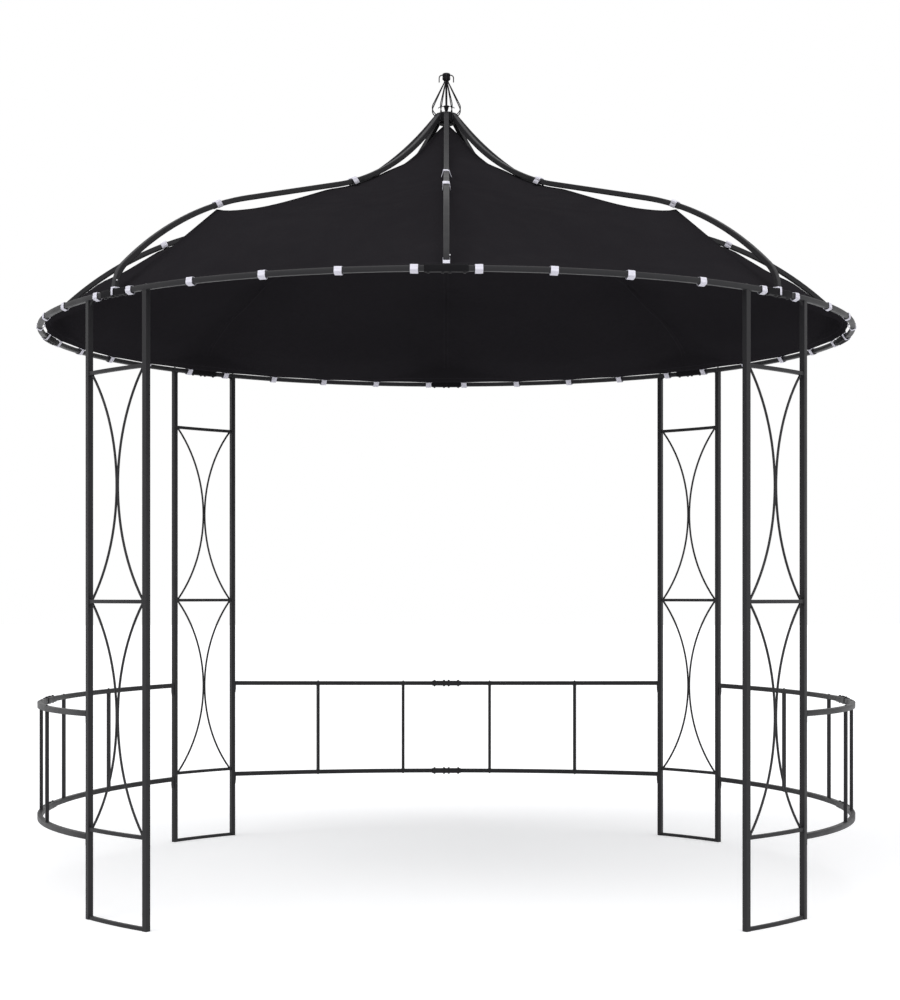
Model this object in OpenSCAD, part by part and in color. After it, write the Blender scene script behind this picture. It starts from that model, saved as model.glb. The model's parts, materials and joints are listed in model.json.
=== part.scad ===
// Round garden gazebo: a ring of bent square tube on four filigree leg panels, three curved
// railings with the front left open, eight S-curved ribs meeting in a hub below a wire finial,
// and a tight fabric roof hung under the ribs with straps.
// Millimetres, +Z up, the ground at z = 0, the open front towards -Y.

/* [Overall] */
// Outer diameter across the eave ring
overall_d = 3000; // [2500:10:3600]
// Clear height from the ground to the underside of the eave ring
eave_h = 2005; // [1900:5:2450]

/* [Tubes and bars] */
// Side of the square tube of posts, rails, ring and ribs
tube_w = 18; // [15:0.5:24]
// Side of the square cross bars in the leg panels
bar_w = 12; // [8:0.5:14]
// Diameter of the bowed rods in the leg panels
rod_d = 8; // [5:0.5:10]
// Side of the square balusters
baluster_w = 12; // [8:0.5:14]

/* [Leg panels] */
// Angle between the two posts of a leg panel, seen from the middle, degrees
panel_angle = 12; // [9:0.1:15]
// Height of the low cross bar's middle above the ground
low_bar_h = 292; // [240:1:360]
// Height of each of the two filigree bays, middle to middle of the bars
bay_h = 739; // [600:1:790]
// Depth by which a pair of bowed rods is fused where the two touch
rod_weld = 1; // [0.5:0.1:2]
// Radius of the rounded corner plates between post tops and ring
corner_r = 16; // [8:1:30]
// Thickness of the corner plates
corner_t = 6; // [3:0.5:8]

/* [Railings] */
// Height of the bottom rail's middle above the ground
bottom_rail_h = 268; // [200:1:330]
// Height of the top rail's middle above the ground
top_rail_h = 667; // [560:1:900]
// Angle from one baluster to the next, degrees
baluster_step = 15.2; // [13:0.1:16]
// Outward tilt of the side rails round the chord between their ends, degrees
side_rail_tilt = 1.4; // [0:0.1:3]
// Outward tilt of the rear rails, degrees
rear_rail_tilt = 2.8; // [0:0.1:3]
// Thickness of the hook plates between rail ends and posts
hook_t = 5; // [3:0.5:8]
// Width of the hook plates
hook_w = 14; // [8:0.5:15]
// Length of the hook plates below the rail
hook_drop = 32; // [15:1:60]

/* [Joint sleeves] */
// Wall of the sleeves round the butted tube ends
sleeve_t = 2; // [1:0.5:3]
// Length of a sleeve along the tube
sleeve_len = 130; // [90:1:150]
// Clearance between a sleeve and its tube, beside and below the tube
sleeve_fit = 0.2; // [0.1:0.1:0.5]

/* [Ribs] */
// Radius of the bend from the upright foot into the rib
foot_bend_r = 122; // [80:1:160]
// Slope of the rib where the foot bend ends, degrees
shoulder_slope = 44.4; // [38:0.1:50]
// Radius of the outward curve above the eave
shoulder_r = 1140; // [800:5:1300]
// Slope of the straight stretch between the two curves, degrees
mid_slope = 15.1; // [10:0.1:20]
// Radius of the inward curve below the hub
neck_r = 945; // [700:5:1100]
// Slope of the rib where it meets the hub, degrees
crown_slope = 49.3; // [40:0.1:52]
// Level length of the straight end at the hub
crown_run = 30; // [10:1:60]

/* [Hub and finial] */
// Width of the eight-sided hub across its flats
hub_w = 82; // [70:1:110]
// Height of the hub below and above the cut rib ends
hub_margin = 3; // [1:0.5:8]
// Height of the conical cap on the hub
hub_cap_h = 9; // [4:1:20]
// Diameter of the round plate under the hub
hub_plate_d = 46; // [30:1:60]
// Thickness of the plate under the hub
hub_plate_t = 4; // [2:0.5:8]
// Diameter of the cage and finial wires
wire_d = 4; // [3:0.5:5]
// Largest radius of the wire cage, to the middle of a wire
cage_r = 57; // [48:1:75]
// Radius of the bend at the belly of the cage
cage_bend_r = 25; // [18:1:28]
// Height of the cage's belly above the hub
cage_belly_h = 23; // [19:1:23]
// Lean of the straight upper wires from the vertical, degrees
cage_lean = 27.5; // [22:0.5:35]
// Diameter of the finial's stem
stem_d = 8; // [6:0.5:12]
// Height of the collar between wires and knob
collar_h = 3; // [2:0.5:6]
// Diameter of the knob on top
knob_d = 30; // [20:1:40]
// Height of the knob
knob_h = 26; // [16:1:36]
// Reach of the four curled hooks from the middle
curl_reach = 27; // [24:1:40]
// Reach of the four lower leaf arms from the middle
leaf_reach = 33; // [20:1:36]

/* [Roof fabric] */
// Thickness of the fabric roof as a solid shell
canopy_t = 4; // [3:0.5:8]
// Gap between the ring and the hem of the fabric
hem_gap = 11; // [6:1:20]
// Radius at which the outer straps tie the fabric to the ribs
outer_tie_r = 1080; // [950:5:1150]
// Radius at which the inner straps tie the fabric to the ribs
inner_tie_r = 489; // [400:5:600]
// Drop of the fabric below the ribs inside the outer straps
field_sag = 31; // [10:1:40]
// Radius at which the fabric is back against the ribs
field_end_r = 587; // [500:1:700]
// Drop of the fabric halfway between two ribs, level with the inner straps
gore_sag = 28; // [15:1:40]
// Radius at which the fabric leaves the ribs again below the hub
crown_open_r = 330; // [250:5:400]
// Drop of the fabric below the ribs where they meet the hub
crown_sag = 38; // [20:1:45]
// Share of a flat gore in the roof's outline between two ribs, 1 for quite flat
gore_flatness = 0.95; // [0:0.05:1]

/* [Straps] */
// Width of the straps
strap_w = 25; // [15:1:30]
// Thickness of the straps
strap_t = 1.5; // [1:0.1:2]
// Clearance between a strap and the tube inside it
strap_fit = 0.2; // [0.1:0.1:0.5]
// Height in front of the narrow straps round the rib feet
foot_strap_w = 6; // [4:0.5:12]
// Rise of the narrow straps from the front of a rib foot to the hem
foot_strap_rise = 12; // [4:0.5:20]
// Straps between two neighbouring ribs
straps_per_gore = 5; // [3:1:7]
// Angle from the front rib to the nearest ring strap, degrees
first_strap_angle = 3.7; // [3.5:0.1:5]
// Growth of that angle from one rib to the next towards the rear, degrees
strap_creep = 0.25; // [0:0.05:0.3]
// Angle from a rib to the nearest ring strap on its front side, degrees
last_strap_angle = 3.1; // [3.1:0.1:5]
// Shift towards the front rib of the middle straps beside it, degrees
strap_slide = 1.1; // [0:0.1:2]

/* [Hidden] */
$fn = 64;
RING_FACES = 180;
ROD_FACES = 24;
RIBS = 8;
rib_step = 360 / RIBS;
FRONT = -90;
LEFT = 180;
REAR = 90;
RIGHT = 0;
FRAME_COLOR = [0.16, 0.155, 0.17];
FABRIC_COLOR = [0.14, 0.135, 0.15];
STRAP_COLOR = [0.92, 0.91, 0.95];
// Pieces fused end to end or side to side overlap by a hair
LAP = 0.02;

// Radii and heights of the ring and panels
ring_r = overall_d / 2 - tube_w / 2;
ring_top = eave_h + tube_w;
mid_bar_h = low_bar_h + bay_h;
top_bar_h = mid_bar_h + bay_h;
half_panel = panel_angle / 2;
half_gap = 45 - half_panel;
sleeve_w = tube_w + 2 * sleeve_t + 2 * sleeve_fit;

// Angle taken at the ring by a length measured along a tangent
function at_ring(length) = asin(length / ring_r);

// The rib's side view: foot bend, shoulder, straight, neck and straight end, each tangent to the
// last. An arc from slope a to slope b covers r * (sin a - sin b) and rises r * (cos b - cos a).
foot_z = ring_top + sleeve_t;
hub_r = hub_w / 2;
function arc_run(r, a, b) = r * abs(sin(a) - sin(b));
function arc_rise(r, a, b) = r * abs(cos(b) - cos(a));
foot_end_r = ring_r - arc_run(foot_bend_r, 90, shoulder_slope);
foot_end_z = foot_z + arc_rise(foot_bend_r, 90, shoulder_slope);
shoulder_end_r = foot_end_r - arc_run(shoulder_r, shoulder_slope, mid_slope);
shoulder_end_z = foot_end_z + arc_rise(shoulder_r, shoulder_slope, mid_slope);
neck_end_r = hub_r + crown_run;
neck_start_r = neck_end_r + arc_run(neck_r, crown_slope, mid_slope);
neck_start_z = shoulder_end_z + (shoulder_end_r - neck_start_r) * tan(mid_slope);
neck_end_z = neck_start_z + arc_rise(neck_r, crown_slope, mid_slope);
crown_z = neck_end_z + crown_run * tan(crown_slope);

// Centres of the three bends, as [radius, height]
foot_centre = [ring_r - foot_bend_r, foot_z];
shoulder_centre = [foot_end_r, foot_end_z] - shoulder_r * [sin(shoulder_slope), cos(shoulder_slope)];
neck_centre = [neck_end_r, neck_end_z] + neck_r * [sin(crown_slope), cos(crown_slope)];

// Points along an arc from angle a0 to a1 in equal steps of about BEND_STEP, leaving out the
// first few that the stretch before it already has
BEND_STEP = 1.5;
function arc_points(centre, r, a0, a1, first = 0) =
    let (n = ceil(abs(a1 - a0) / BEND_STEP))
        [for (i = [first:n]) centre + r * direction(a0 + (a1 - a0) * i / n)];
function direction(a) = [cos(a), sin(a)];
function reversed(list) = [for (i = [len(list) - 1:-1:0]) list[i]];

// Height over radius r of the rib's centre line, or of a line offset from it by out
function circle_rise(r, centre, radius) = sqrt(max(0, pow(radius, 2) - pow(r - centre[0], 2)));
function rib_z(r, out = 0) =
    r > foot_end_r + out * sin(shoulder_slope)
    ? foot_z + circle_rise(r, foot_centre, foot_bend_r + out)
    : r > shoulder_end_r + out * sin(mid_slope)
    ? shoulder_centre[1] + circle_rise(r, shoulder_centre, shoulder_r + out)
    : r > neck_start_r + out * sin(mid_slope)
    ? shoulder_end_z + (shoulder_end_r - r) * tan(mid_slope) + out / cos(mid_slope)
    : r > neck_end_r + out * sin(crown_slope)
    ? neck_centre[1] - circle_rise(r, neck_centre, neck_r - out)
    : crown_z - (r - hub_r) * tan(crown_slope) + out / cos(crown_slope);
function rib_slope(r) = atan((rib_z(r - 0.5) - rib_z(r + 0.5)));

// Hub and finial heights. The upper wires press into the stem by a tenth of their width.
WIRE_PRESS = 0.9;
hub_bottom = crown_z - tube_w / 2 / cos(crown_slope) - hub_margin;
hub_top = crown_z + tube_w / 2 / cos(crown_slope);
belly_z = hub_top + cage_belly_h;
stem_r = stem_d / 2;
lean_start_r = cage_r - cage_bend_r + cage_bend_r * cos(cage_lean);
lean_start_z = belly_z + cage_bend_r * sin(cage_lean);
belly_centre = [cage_r - cage_bend_r, belly_z];
foot_wire_a = -asin(cage_belly_h / cage_bend_r);
foot_wire_r = belly_centre[0] + cage_bend_r * cos(foot_wire_a);
lean_top_r = stem_r + wire_d * WIRE_PRESS;
lean_top_z = lean_start_z + (lean_start_r - lean_top_r) / tan(cage_lean);
collar_z = lean_top_z + wire_d;
knob_z = collar_z + collar_h;

// The fabric hangs below the ribs. From the hem to the outer straps it is stretched straight.
// Inside them it sags, comes back to the rib and leaves it again near the hub, to rise as a
// cone to a point under the hub. Its hem ends inside the feet.
tie_gap = strap_t + 4 * strap_fit;
hem_z = ring_top + hem_gap + canopy_t;
hem_r = foot_centre[0]
    + sqrt(pow(foot_bend_r - tube_w / 2 - tie_gap, 2) - pow(hem_z - foot_z, 2));
FIELD_SKEW = 0.62;
CROWN_SKEW = 1.3;
TIP_R = 6;
function fabric_under_rib(r) = rib_z(r, -tube_w / 2 - tie_gap);
eave_rise = fabric_under_rib(outer_tie_r) - hem_z;
function eave_drop(r) =
    fabric_under_rib(r) - hem_z - eave_rise * (hem_r - r) / (hem_r - outer_tie_r);
function field_drop(r) =
    let (t = (outer_tie_r - r) / (outer_tie_r - field_end_r))
        field_sag * sin(180 * pow(t, FIELD_SKEW));
function crown_drop(r) =
    let (t = min(1, (r - hub_r) / (crown_open_r - hub_r)))
        crown_sag * (1 + cos(180 * pow(t, CROWN_SKEW))) / 2;
function rib_sag(r) =
    r > outer_tie_r ? eave_drop(r)
    : r > field_end_r ? field_drop(r)
    : crown_drop(r);

// Halfway between two ribs no strap holds the fabric: inside this radius its drop there
// changes slowly from that of the eave to gore_sag
GORE_START_R = 1280;
function ease(x) = let (t = min(1, max(0, x))) t * t * (3 - 2 * t);
function gore_drop(r) =
    let (start = eave_drop(GORE_START_R), t = (GORE_START_R - r) / (GORE_START_R - inner_tie_r))
        r > GORE_START_R ? eave_drop(r) : start - (start - gore_sag) * ease(t);

// Share of that drop at radius r and a turn between two ribs, none near the hub
CALM_R = 150;
CALM_SPREAD = 0.7;
function calm_share(r, turn) =
    pow(sin(180 * turn / rib_step), CALM_SPREAD) * ease((r - CALM_R) / (inner_tie_r - CALM_R));

// Height of the fabric at radius r of the rib line and a turn between two ribs
tip_z = hub_bottom - hub_plate_t - strap_fit;
function cone_z(r) =
    let (low = fabric_under_rib(hub_r) - crown_sag)
        low + (tip_z - low) * (hub_r - r) / (hub_r - TIP_R);
function fabric_z(r, turn) =
    let (calm = calm_share(r, turn))
        r > hub_r ? fabric_under_rib(r) - (1 - calm) * rib_sag(r) - calm * gore_drop(r)
        : cone_z(r);

// Between two ribs a taut gore is nearly flat, so it lies as low as the rib line further out.
// Only the strip along the hem is bent to the round ring.
HEM_STRIP = 170;
function gore_stretch(turn) = cos(abs(turn) - rib_step / 2) / cos(rib_step / 2);
function hem_fade(r) = min(1, (hem_r - r) / HEM_STRIP);
function line_r(r, turn) =
    r <= hub_r ? r
    : min(hem_r, r * (1 + gore_flatness * hem_fade(r) * (gore_stretch(turn) - 1)));

// Angle from the front rib to ring strap number n of gore number g, both counted to the rear
STRAP_SKEW = 0.85;
function strap_angle(g, n) =
    let (
        first = first_strap_angle + g * strap_creep,
        share = n / (straps_per_gore - 1),
        slide = g == 0 ? strap_slide * sin(180 * pow(share, STRAP_SKEW)) : 0
    )
        g * rib_step + first + share * (rib_step - first - last_strap_angle) - slide;

// The shell's corners: in plan at each rib and at even steps between, and on circles that lie
// closer together where the section bends more
GORE_EDGE = 3.5;
gore_turn_step = (rib_step - 2 * GORE_EDGE) / (straps_per_gore - 1);
GORE_TURNS = concat([0], [for (n = [0:straps_per_gore - 1]) GORE_EDGE + n * gore_turn_step]);
SPAN_STEPS = 7;
TIE_STEPS = 2;
CROWN_STEPS = 8;
function span_r(k, steps, from, to, power) = from + (to - from) * pow(k / steps, power);
EAVE_POWER = 2;
CROWN_POWER = 1.5;
CANOPY_R = [
    for (k = [0:SPAN_STEPS]) span_r(k, SPAN_STEPS, hem_r, outer_tie_r, EAVE_POWER),
    for (k = [1:SPAN_STEPS]) span_r(k, SPAN_STEPS, outer_tie_r, field_end_r, 1),
    for (k = [1:TIE_STEPS]) span_r(k, TIE_STEPS, field_end_r, inner_tie_r, 1),
    for (k = [CROWN_STEPS - 1:-1:0]) span_r(k, CROWN_STEPS, hub_r, inner_tie_r, CROWN_POWER),
    TIP_R,
];

// A square bar bent round the z axis from angle a0 to a1, its middle at radius r and height 0
module bent_bar(r, w, a0, a1) {
    rotate([0, 0, a0])
        rotate_extrude(angle = a1 - a0, $fn = RING_FACES)
            translate([r - w / 2, -w / 2])
                square(w);
}

// A round rod bent round the z axis from angle a0 to a1
module bent_rod(r, d, a0, a1) {
    rotate([0, 0, a0])
        rotate_extrude(angle = a1 - a0)
            translate([r, 0])
                circle(d = d, $fn = ROD_FACES);
}

// Turns a drawing in the x-y plane upright, so that x points outwards and y up
module upright(turn) {
    rotate([0, 0, turn])
        rotate([90, 0, 0])
            children();
}

// One post of a leg panel at angle a
module post(a) {
    rotate([0, 0, a])
        translate([ring_r - tube_w / 2, -tube_w / 2, 0])
            cube([tube_w, tube_w, eave_h]);
}

// A pair of rods bowed towards each other between two cross bars, fused where they touch
module bowed_pair(turn, z) {
    plane_r = ring_r * cos(half_panel);
    end_y = ring_r * sin(half_panel) - tube_w / 2 - rod_d / 2;
    near_y = (rod_d - rod_weld) / 2;
    bow = end_y - near_y;
    half = bay_h / 2;
    bow_r = (pow(half, 2) + pow(bow, 2)) / (2 * bow);
    spread = asin(half / bow_r);
    for (side = [0, 1])
        rotate([0, 0, turn])
            translate([plane_r, 0, z])
                mirror([0, side, 0])
                    translate([0, near_y + bow_r, 0])
                        rotate([90, 0, 90])
                            bent_rod(bow_r, rod_d, 180 - spread, 180 + spread);
}

// A corner plate with a hollow round edge, between a post's inner side and the ring
module corner_plate(a, side) {
    rotate([0, 0, a])
        mirror([0, side, 0])
            translate([ring_r + corner_t / 2, tube_w / 2 - LAP, eave_h])
                rotate([0, -90, 0])
                    linear_extrude(corner_t)
                        difference() {
                            translate([-corner_r, 0])
                                square([corner_r, corner_r + LAP]);
                            translate([-corner_r, corner_r + LAP])
                                circle(r = corner_r);
                        }
}

// A leg panel: two posts, four bent cross bars, two bays of bowed rods and two corner plates
module panel(turn) {
    color(FRAME_COLOR)
        union() {
            post(turn - half_panel);
            post(turn + half_panel);
            for (z = [bar_w / 2, low_bar_h, mid_bar_h, top_bar_h])
                translate([0, 0, z])
                    bent_bar(ring_r, bar_w, turn - half_panel, turn + half_panel);
            for (bay = [0, 1])
                bowed_pair(turn, low_bar_h + (bay + 0.5) * bay_h);
            corner_plate(turn - half_panel, 0);
            corner_plate(turn + half_panel, 1);
        }
}

// A hook plate between a rail end and the side of a post at angle a
module hook_plate(a, side, z) {
    low = -tube_w / 2 - hook_drop;
    rotate([0, 0, a])
        mirror([0, side, 0])
            translate([ring_r + hook_w / 2, tube_w / 2, z])
                rotate([0, -90, 0])
                    linear_extrude(hook_w)
                        polygon([
                            [tube_w / 2, 0],
                            [low, 0],
                            [low, hook_t / 2],
                            [low + hook_drop / 2, hook_t],
                            [tube_w / 2, hook_t],
                        ]);
}

// Tilts a rail at height z outwards round the chord between its ends, so that its middle
// hangs lower
rail_end_a = half_gap - at_ring(tube_w / 2 + hook_t / 2);
chord_r = ring_r * cos(rail_end_a);
module tilted_rail(middle, z, tilt) {
    rotate([0, 0, middle])
        translate([chord_r, 0, z])
            rotate([0, tilt, 0])
                translate([-chord_r, 0, 0])
                    children();
}

// Half of a railing, from the joint at its middle to a leg panel. way is 1 or -1, the side of
// the joint on which the half lies.
module railing_half(middle, way, tilt) {
    post_a = middle + way * half_gap;
    color(FRAME_COLOR)
        union() {
            for (z = [bottom_rail_h, top_rail_h]) {
                tilted_rail(middle, z, tilt)
                    if (way > 0)
                        bent_bar(ring_r, tube_w, 0, rail_end_a);
                    else
                        bent_bar(ring_r, tube_w, -rail_end_a, 0);
                hook_plate(post_a, way > 0 ? 1 : 0, z);
            }
            for (k = [0.5, 1.5]) {
                drop = (ring_r * cos(k * baluster_step) - chord_r) * sin(tilt);
                rotate([0, 0, middle + way * k * baluster_step])
                    translate([ring_r - baluster_w / 2, -baluster_w / 2, bottom_rail_h - drop])
                        cube([baluster_w, baluster_w, top_rail_h - bottom_rail_h]);
            }
        }
}

// A square sleeve round two butted tube ends, resting on the tube's top at height top
module joint_sleeve(a, top) {
    half = at_ring(sleeve_len / 2);
    bore_w = tube_w + 2 * sleeve_fit;
    rotate([0, 0, a - half])
        rotate_extrude(angle = 2 * half, $fn = RING_FACES)
            translate([ring_r, top])
                difference() {
                    translate([-sleeve_w / 2, -tube_w - sleeve_fit - sleeve_t])
                        square([sleeve_w, tube_w + sleeve_fit + 2 * sleeve_t]);
                    translate([-bore_w / 2, -tube_w - sleeve_fit])
                        square([bore_w, tube_w + sleeve_fit]);
                }
}

module railing_sleeves(middle, tilt) {
    color(FRAME_COLOR)
        for (z = [bottom_rail_h, top_rail_h])
            tilted_rail(middle, z, tilt)
                joint_sleeve(0, tube_w / 2);
}

// One eighth of the eave ring, starting at the rib foot number k counted from the front
module ring_segment(k) {
    color(FRAME_COLOR)
        translate([0, 0, eave_h + tube_w / 2])
            bent_bar(ring_r, tube_w, FRONT + k * rib_step, FRONT + (k + 1) * rib_step);
}

module ring_sleeves() {
    color(FRAME_COLOR)
        for (k = [0:RIBS - 1])
            joint_sleeve(FRONT + k * rib_step, ring_top);
}

// One roof rib number k counted from the front: a tube bent in a plane, drawn from its side and
// ending upright against the hub
module rib(k) {
    half = tube_w / 2;
    end_half = half / cos(crown_slope);
    function side(out) = concat(
        arc_points(foot_centre, foot_bend_r + out, 0, 90 - shoulder_slope),
        arc_points(shoulder_centre, shoulder_r + out, 90 - shoulder_slope, 90 - mid_slope, 1),
        arc_points(neck_centre, neck_r - out, 270 - mid_slope, 270 - crown_slope)
    );
    color(FRAME_COLOR)
        upright(FRONT + k * rib_step)
            translate([0, 0, -half])
                linear_extrude(tube_w)
                    polygon(concat(
                        side(half),
                        [[hub_r, crown_z + end_half], [hub_r, crown_z - end_half]],
                        reversed(side(-half))
                    ));
}

// The eight-sided hub that the ribs butt against, with a conical cap and a plate below
HUB_CAP_FOOT = 0.8;
HUB_CAP_TOP = 0.55;
module crown_hub() {
    color(FRAME_COLOR)
        union() {
            translate([0, 0, hub_bottom])
                rotate([0, 0, rib_step / 2])
                    cylinder(h = hub_top - hub_bottom, r = hub_r / cos(rib_step / 2), $fn = RIBS);
            translate([0, 0, hub_top - LAP])
                cylinder(
                    h = hub_cap_h + LAP,
                    r1 = hub_r * HUB_CAP_FOOT,
                    r2 = hub_r * HUB_CAP_TOP
                );
            translate([0, 0, hub_bottom - hub_plate_t])
                cylinder(h = hub_plate_t + LAP, d = hub_plate_d);
        }
}

// A round rod swept along a path of [radius, height] points that starts and ends level
module swept_rod(path, d, sides = 8) {
    last = len(path) - 1;
    rings = [
        for (i = [0:last])
            let (
                along = path[min(i + 1, last)] - path[max(i - 1, 0)],
                across = i == 0 || i == last ? [1, 0] : [along[1], -along[0]] / norm(along)
            )
                for (k = [0:sides - 1])
                    let (out = d / 2 * cos(k * 360 / sides), y = d / 2 * sin(k * 360 / sides))
                        [path[i][0] + out * across[0], y, path[i][1] + out * across[1]]
    ];
    function at(i, k) = i * sides + k % sides;
    polyhedron(
        points = rings,
        faces = concat(
            [[for (k = [0:sides - 1]) at(0, k)]],
            [[for (k = [sides - 1:-1:0]) at(last, k)]],
            [for (i = [0:last - 1]) for (k = [0:sides - 1])
                each [[at(i, k), at(i + 1, k), at(i, k + 1)],
                    [at(i, k + 1), at(i + 1, k), at(i + 1, k + 1)]]]
        )
    );
}

// Eight wires bent to an onion shape, standing on the hub and meeting under the stem's collar
BELLY_STEPS = 8;
module finial_cage() {
    belly_step = (cage_lean - foot_wire_a) / BELLY_STEPS;
    wire = concat(
        [[foot_wire_r, hub_top]],
        [for (k = [1:BELLY_STEPS - 1])
            belly_centre + cage_bend_r * direction(foot_wire_a + k * belly_step)],
        [[lean_start_r, lean_start_z], [lean_top_r, lean_top_z], [lean_top_r, collar_z]]
    );
    color(FRAME_COLOR)
        for (k = [0:RIBS - 1])
            rotate([0, 0, (k + 0.5) * rib_step])
                swept_rod(wire, wire_d);
}

// The upright stem with a small cup and four leaf arms low in the cage, and a collar on top.
// The arms are arcs of LEAF_BEND times their reach, from LEAF_TIP to LEAF_ROOT degrees.
LEAF_RISE = 10;
LEAF_BEND = 0.8;
LEAF_MIDDLE = 0.4;
LEAF_TIP = 49;
LEAF_ROOT = 110;
LEAF_WIRE = 0.75;
CUP_FLARE = 2.6;
module finial_stem() {
    foot_top = hub_top + hub_cap_h;
    leaf_z = belly_z + LEAF_RISE;
    leaf_bend_r = leaf_reach * LEAF_BEND;
    color(FRAME_COLOR)
        union() {
            translate([0, 0, foot_top])
                cylinder(h = knob_z - foot_top, r = stem_r);
            translate([0, 0, collar_z])
                cylinder(h = collar_h, r = lean_top_r + wire_d / 2);
            translate([0, 0, foot_top])
                cylinder(h = leaf_z - foot_top + wire_d / 2, r1 = stem_r, r2 = stem_r * CUP_FLARE);
            for (k = [0:3])
                upright(k * 90)
                    translate([leaf_reach * LEAF_MIDDLE, leaf_z - leaf_bend_r])
                        bent_rod(leaf_bend_r, wire_d * LEAF_WIRE, LEAF_TIP, LEAF_ROOT);
        }
}

// The knob on top of the stem: a slightly waisted and hollow-topped turning with four curled
// hooks. Its outline is given as shares of its diameter and height.
KNOB_OUTLINE = [
    [0, 0], [0.34, 0], [0.45, 0.05], [0.5, 0.16], [0.5, 0.27], [0.48, 0.5],
    [0.5, 0.74], [0.5, 0.85], [0.46, 0.94], [0.37, 1], [0.2, 0.97], [0, 0.95],
];
CURL_BEND = 0.42;
CURL_RISE = 0.75;
CURL_END = 130;
CURL_DROP = 0.6;
module finial_knob() {
    curl_r = curl_reach * CURL_BEND;
    curl_z = knob_z + knob_h * CURL_RISE - curl_r;
    color(FRAME_COLOR)
        union() {
            translate([0, 0, knob_z])
                rotate_extrude()
                    polygon([for (p = KNOB_OUTLINE) [p[0] * knob_d, p[1] * knob_h]]);
            for (k = [0:3])
                upright(k * 90) {
                    translate([curl_reach - curl_r, curl_z])
                        bent_rod(curl_r, wire_d, 0, CURL_END);
                    translate([curl_reach, curl_z - knob_h * CURL_DROP])
                        rotate([-90, 0, 0])
                            cylinder(h = knob_h * CURL_DROP + LAP, d = wire_d, $fn = ROD_FACES);
                }
        }
}

// The fabric roof as one closed shell, one strip of rings over the other
module canopy() {
    turns = RIBS * len(GORE_TURNS);
    rings = len(CANOPY_R);
    skin = [
        for (r = CANOPY_R)
            for (rib_a = [0:rib_step:359])
                for (turn = GORE_TURNS)
                    let (a = rib_a + turn)
                        [r * cos(a), r * sin(a), fabric_z(line_r(r, turn), turn)]
    ];
    lining = [for (p = skin) p - [0, 0, canopy_t]];
    below = len(skin);
    function at(ring, k) = ring * turns + k % turns;
    color(FABRIC_COLOR)
        polyhedron(
            points = concat(skin, lining),
            faces = concat(
                [for (i = [0:rings - 2]) for (k = [0:turns - 1])
                    each [[at(i, k), at(i + 1, k), at(i, k + 1)],
                        [at(i, k + 1), at(i + 1, k), at(i + 1, k + 1)]]],
                [for (i = [0:rings - 2]) for (k = [0:turns - 1])
                    each [[below + at(i, k), below + at(i, k + 1), below + at(i + 1, k)],
                        [below + at(i, k + 1), below + at(i + 1, k + 1), below + at(i + 1, k)]]],
                [for (k = [0:turns - 1])
                    each [[at(0, k), at(0, k + 1), below + at(0, k)],
                        [at(0, k + 1), below + at(0, k + 1), below + at(0, k)]]],
                [[for (k = [turns - 1:-1:0]) at(rings - 1, k)]],
                [[for (k = [0:turns - 1]) below + at(rings - 1, k)]]
            ),
            convexity = 8
        );
}

// A strap round a rib at a tie, as wide as strap_w along the rib
module tie_loop() {
    inner = tube_w + 2 * strap_fit;
    rotate([90, 0, 90])
        translate([0, 0, -strap_w / 2])
            linear_extrude(strap_w)
                difference() {
                    square(inner + 2 * strap_t, center = true);
                    square(inner, center = true);
                }
}

// A strap round the ring that rises on the inside to the hem and falls back over the ring.
// Its profile has the ring's underside at height 0 and the ring's middle at 0.
module hem_loop() {
    in_x = tube_w / 2 + strap_fit;
    out_x = in_x + strap_t;
    shoulder_y = tube_w + 2 * strap_fit + strap_t;
    top_y = hem_z - eave_h;
    lean = ring_r - out_x - hem_r - strap_fit;
    fall = (top_y - shoulder_y) / (2 * out_x - strap_t);
    roof_t = strap_t * sqrt(1 + fall * fall);
    translate([0, 0, -strap_w / 2])
        linear_extrude(strap_w)
            difference() {
                polygon([
                    [-out_x, -strap_t],
                    [out_x, -strap_t],
                    [out_x, shoulder_y],
                    [-in_x, top_y],
                    [-out_x - lean, top_y],
                ]);
                polygon([
                    [-in_x, 0],
                    [in_x, 0],
                    [in_x, shoulder_y + fall * strap_t - roof_t],
                    [-in_x, top_y - roof_t],
                ]);
            }
}

// Straps from the ring to the hem of the fabric
module ring_straps() {
    color(STRAP_COLOR)
        for (way = [-1, 1])
            for (g = [0:RIBS / 2 - 1])
                for (n = [0:straps_per_gore - 1])
                    upright(FRONT + way * strap_angle(g, n))
                        translate([ring_r, eave_h])
                            hem_loop();
}

// Straps round each rib at the inner and the outer tie
module rib_straps() {
    color(STRAP_COLOR)
        for (k = [0:RIBS - 1])
            for (r = [outer_tie_r, inner_tie_r])
                rotate([0, 0, FRONT + k * rib_step])
                    translate([r, 0, rib_z(r)])
                        rotate([0, rib_slope(r), 0])
                            tie_loop();
}

// A narrow strap round each rib foot, low in front and rising at the sides to the hem
module foot_straps() {
    in_x = tube_w / 2 + strap_fit;
    out_x = in_x + strap_t;
    low = foot_z + strap_fit;
    behind = in_x + 2 * strap_t;
    high = foot_strap_w + foot_strap_rise;
    color(STRAP_COLOR)
        for (k = [0:RIBS - 1])
            upright(FRONT + k * rib_step)
                difference() {
                    translate([ring_r, 0, -out_x])
                        linear_extrude(2 * out_x)
                            polygon([
                                [out_x, low],
                                [out_x, low + foot_strap_w],
                                [-out_x, low + high],
                                [-out_x, low],
                            ]);
                    translate([ring_r - behind, low - LAP, -in_x])
                        cube([behind + in_x, high + 2 * LAP, 2 * in_x]);
                }
}

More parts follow.
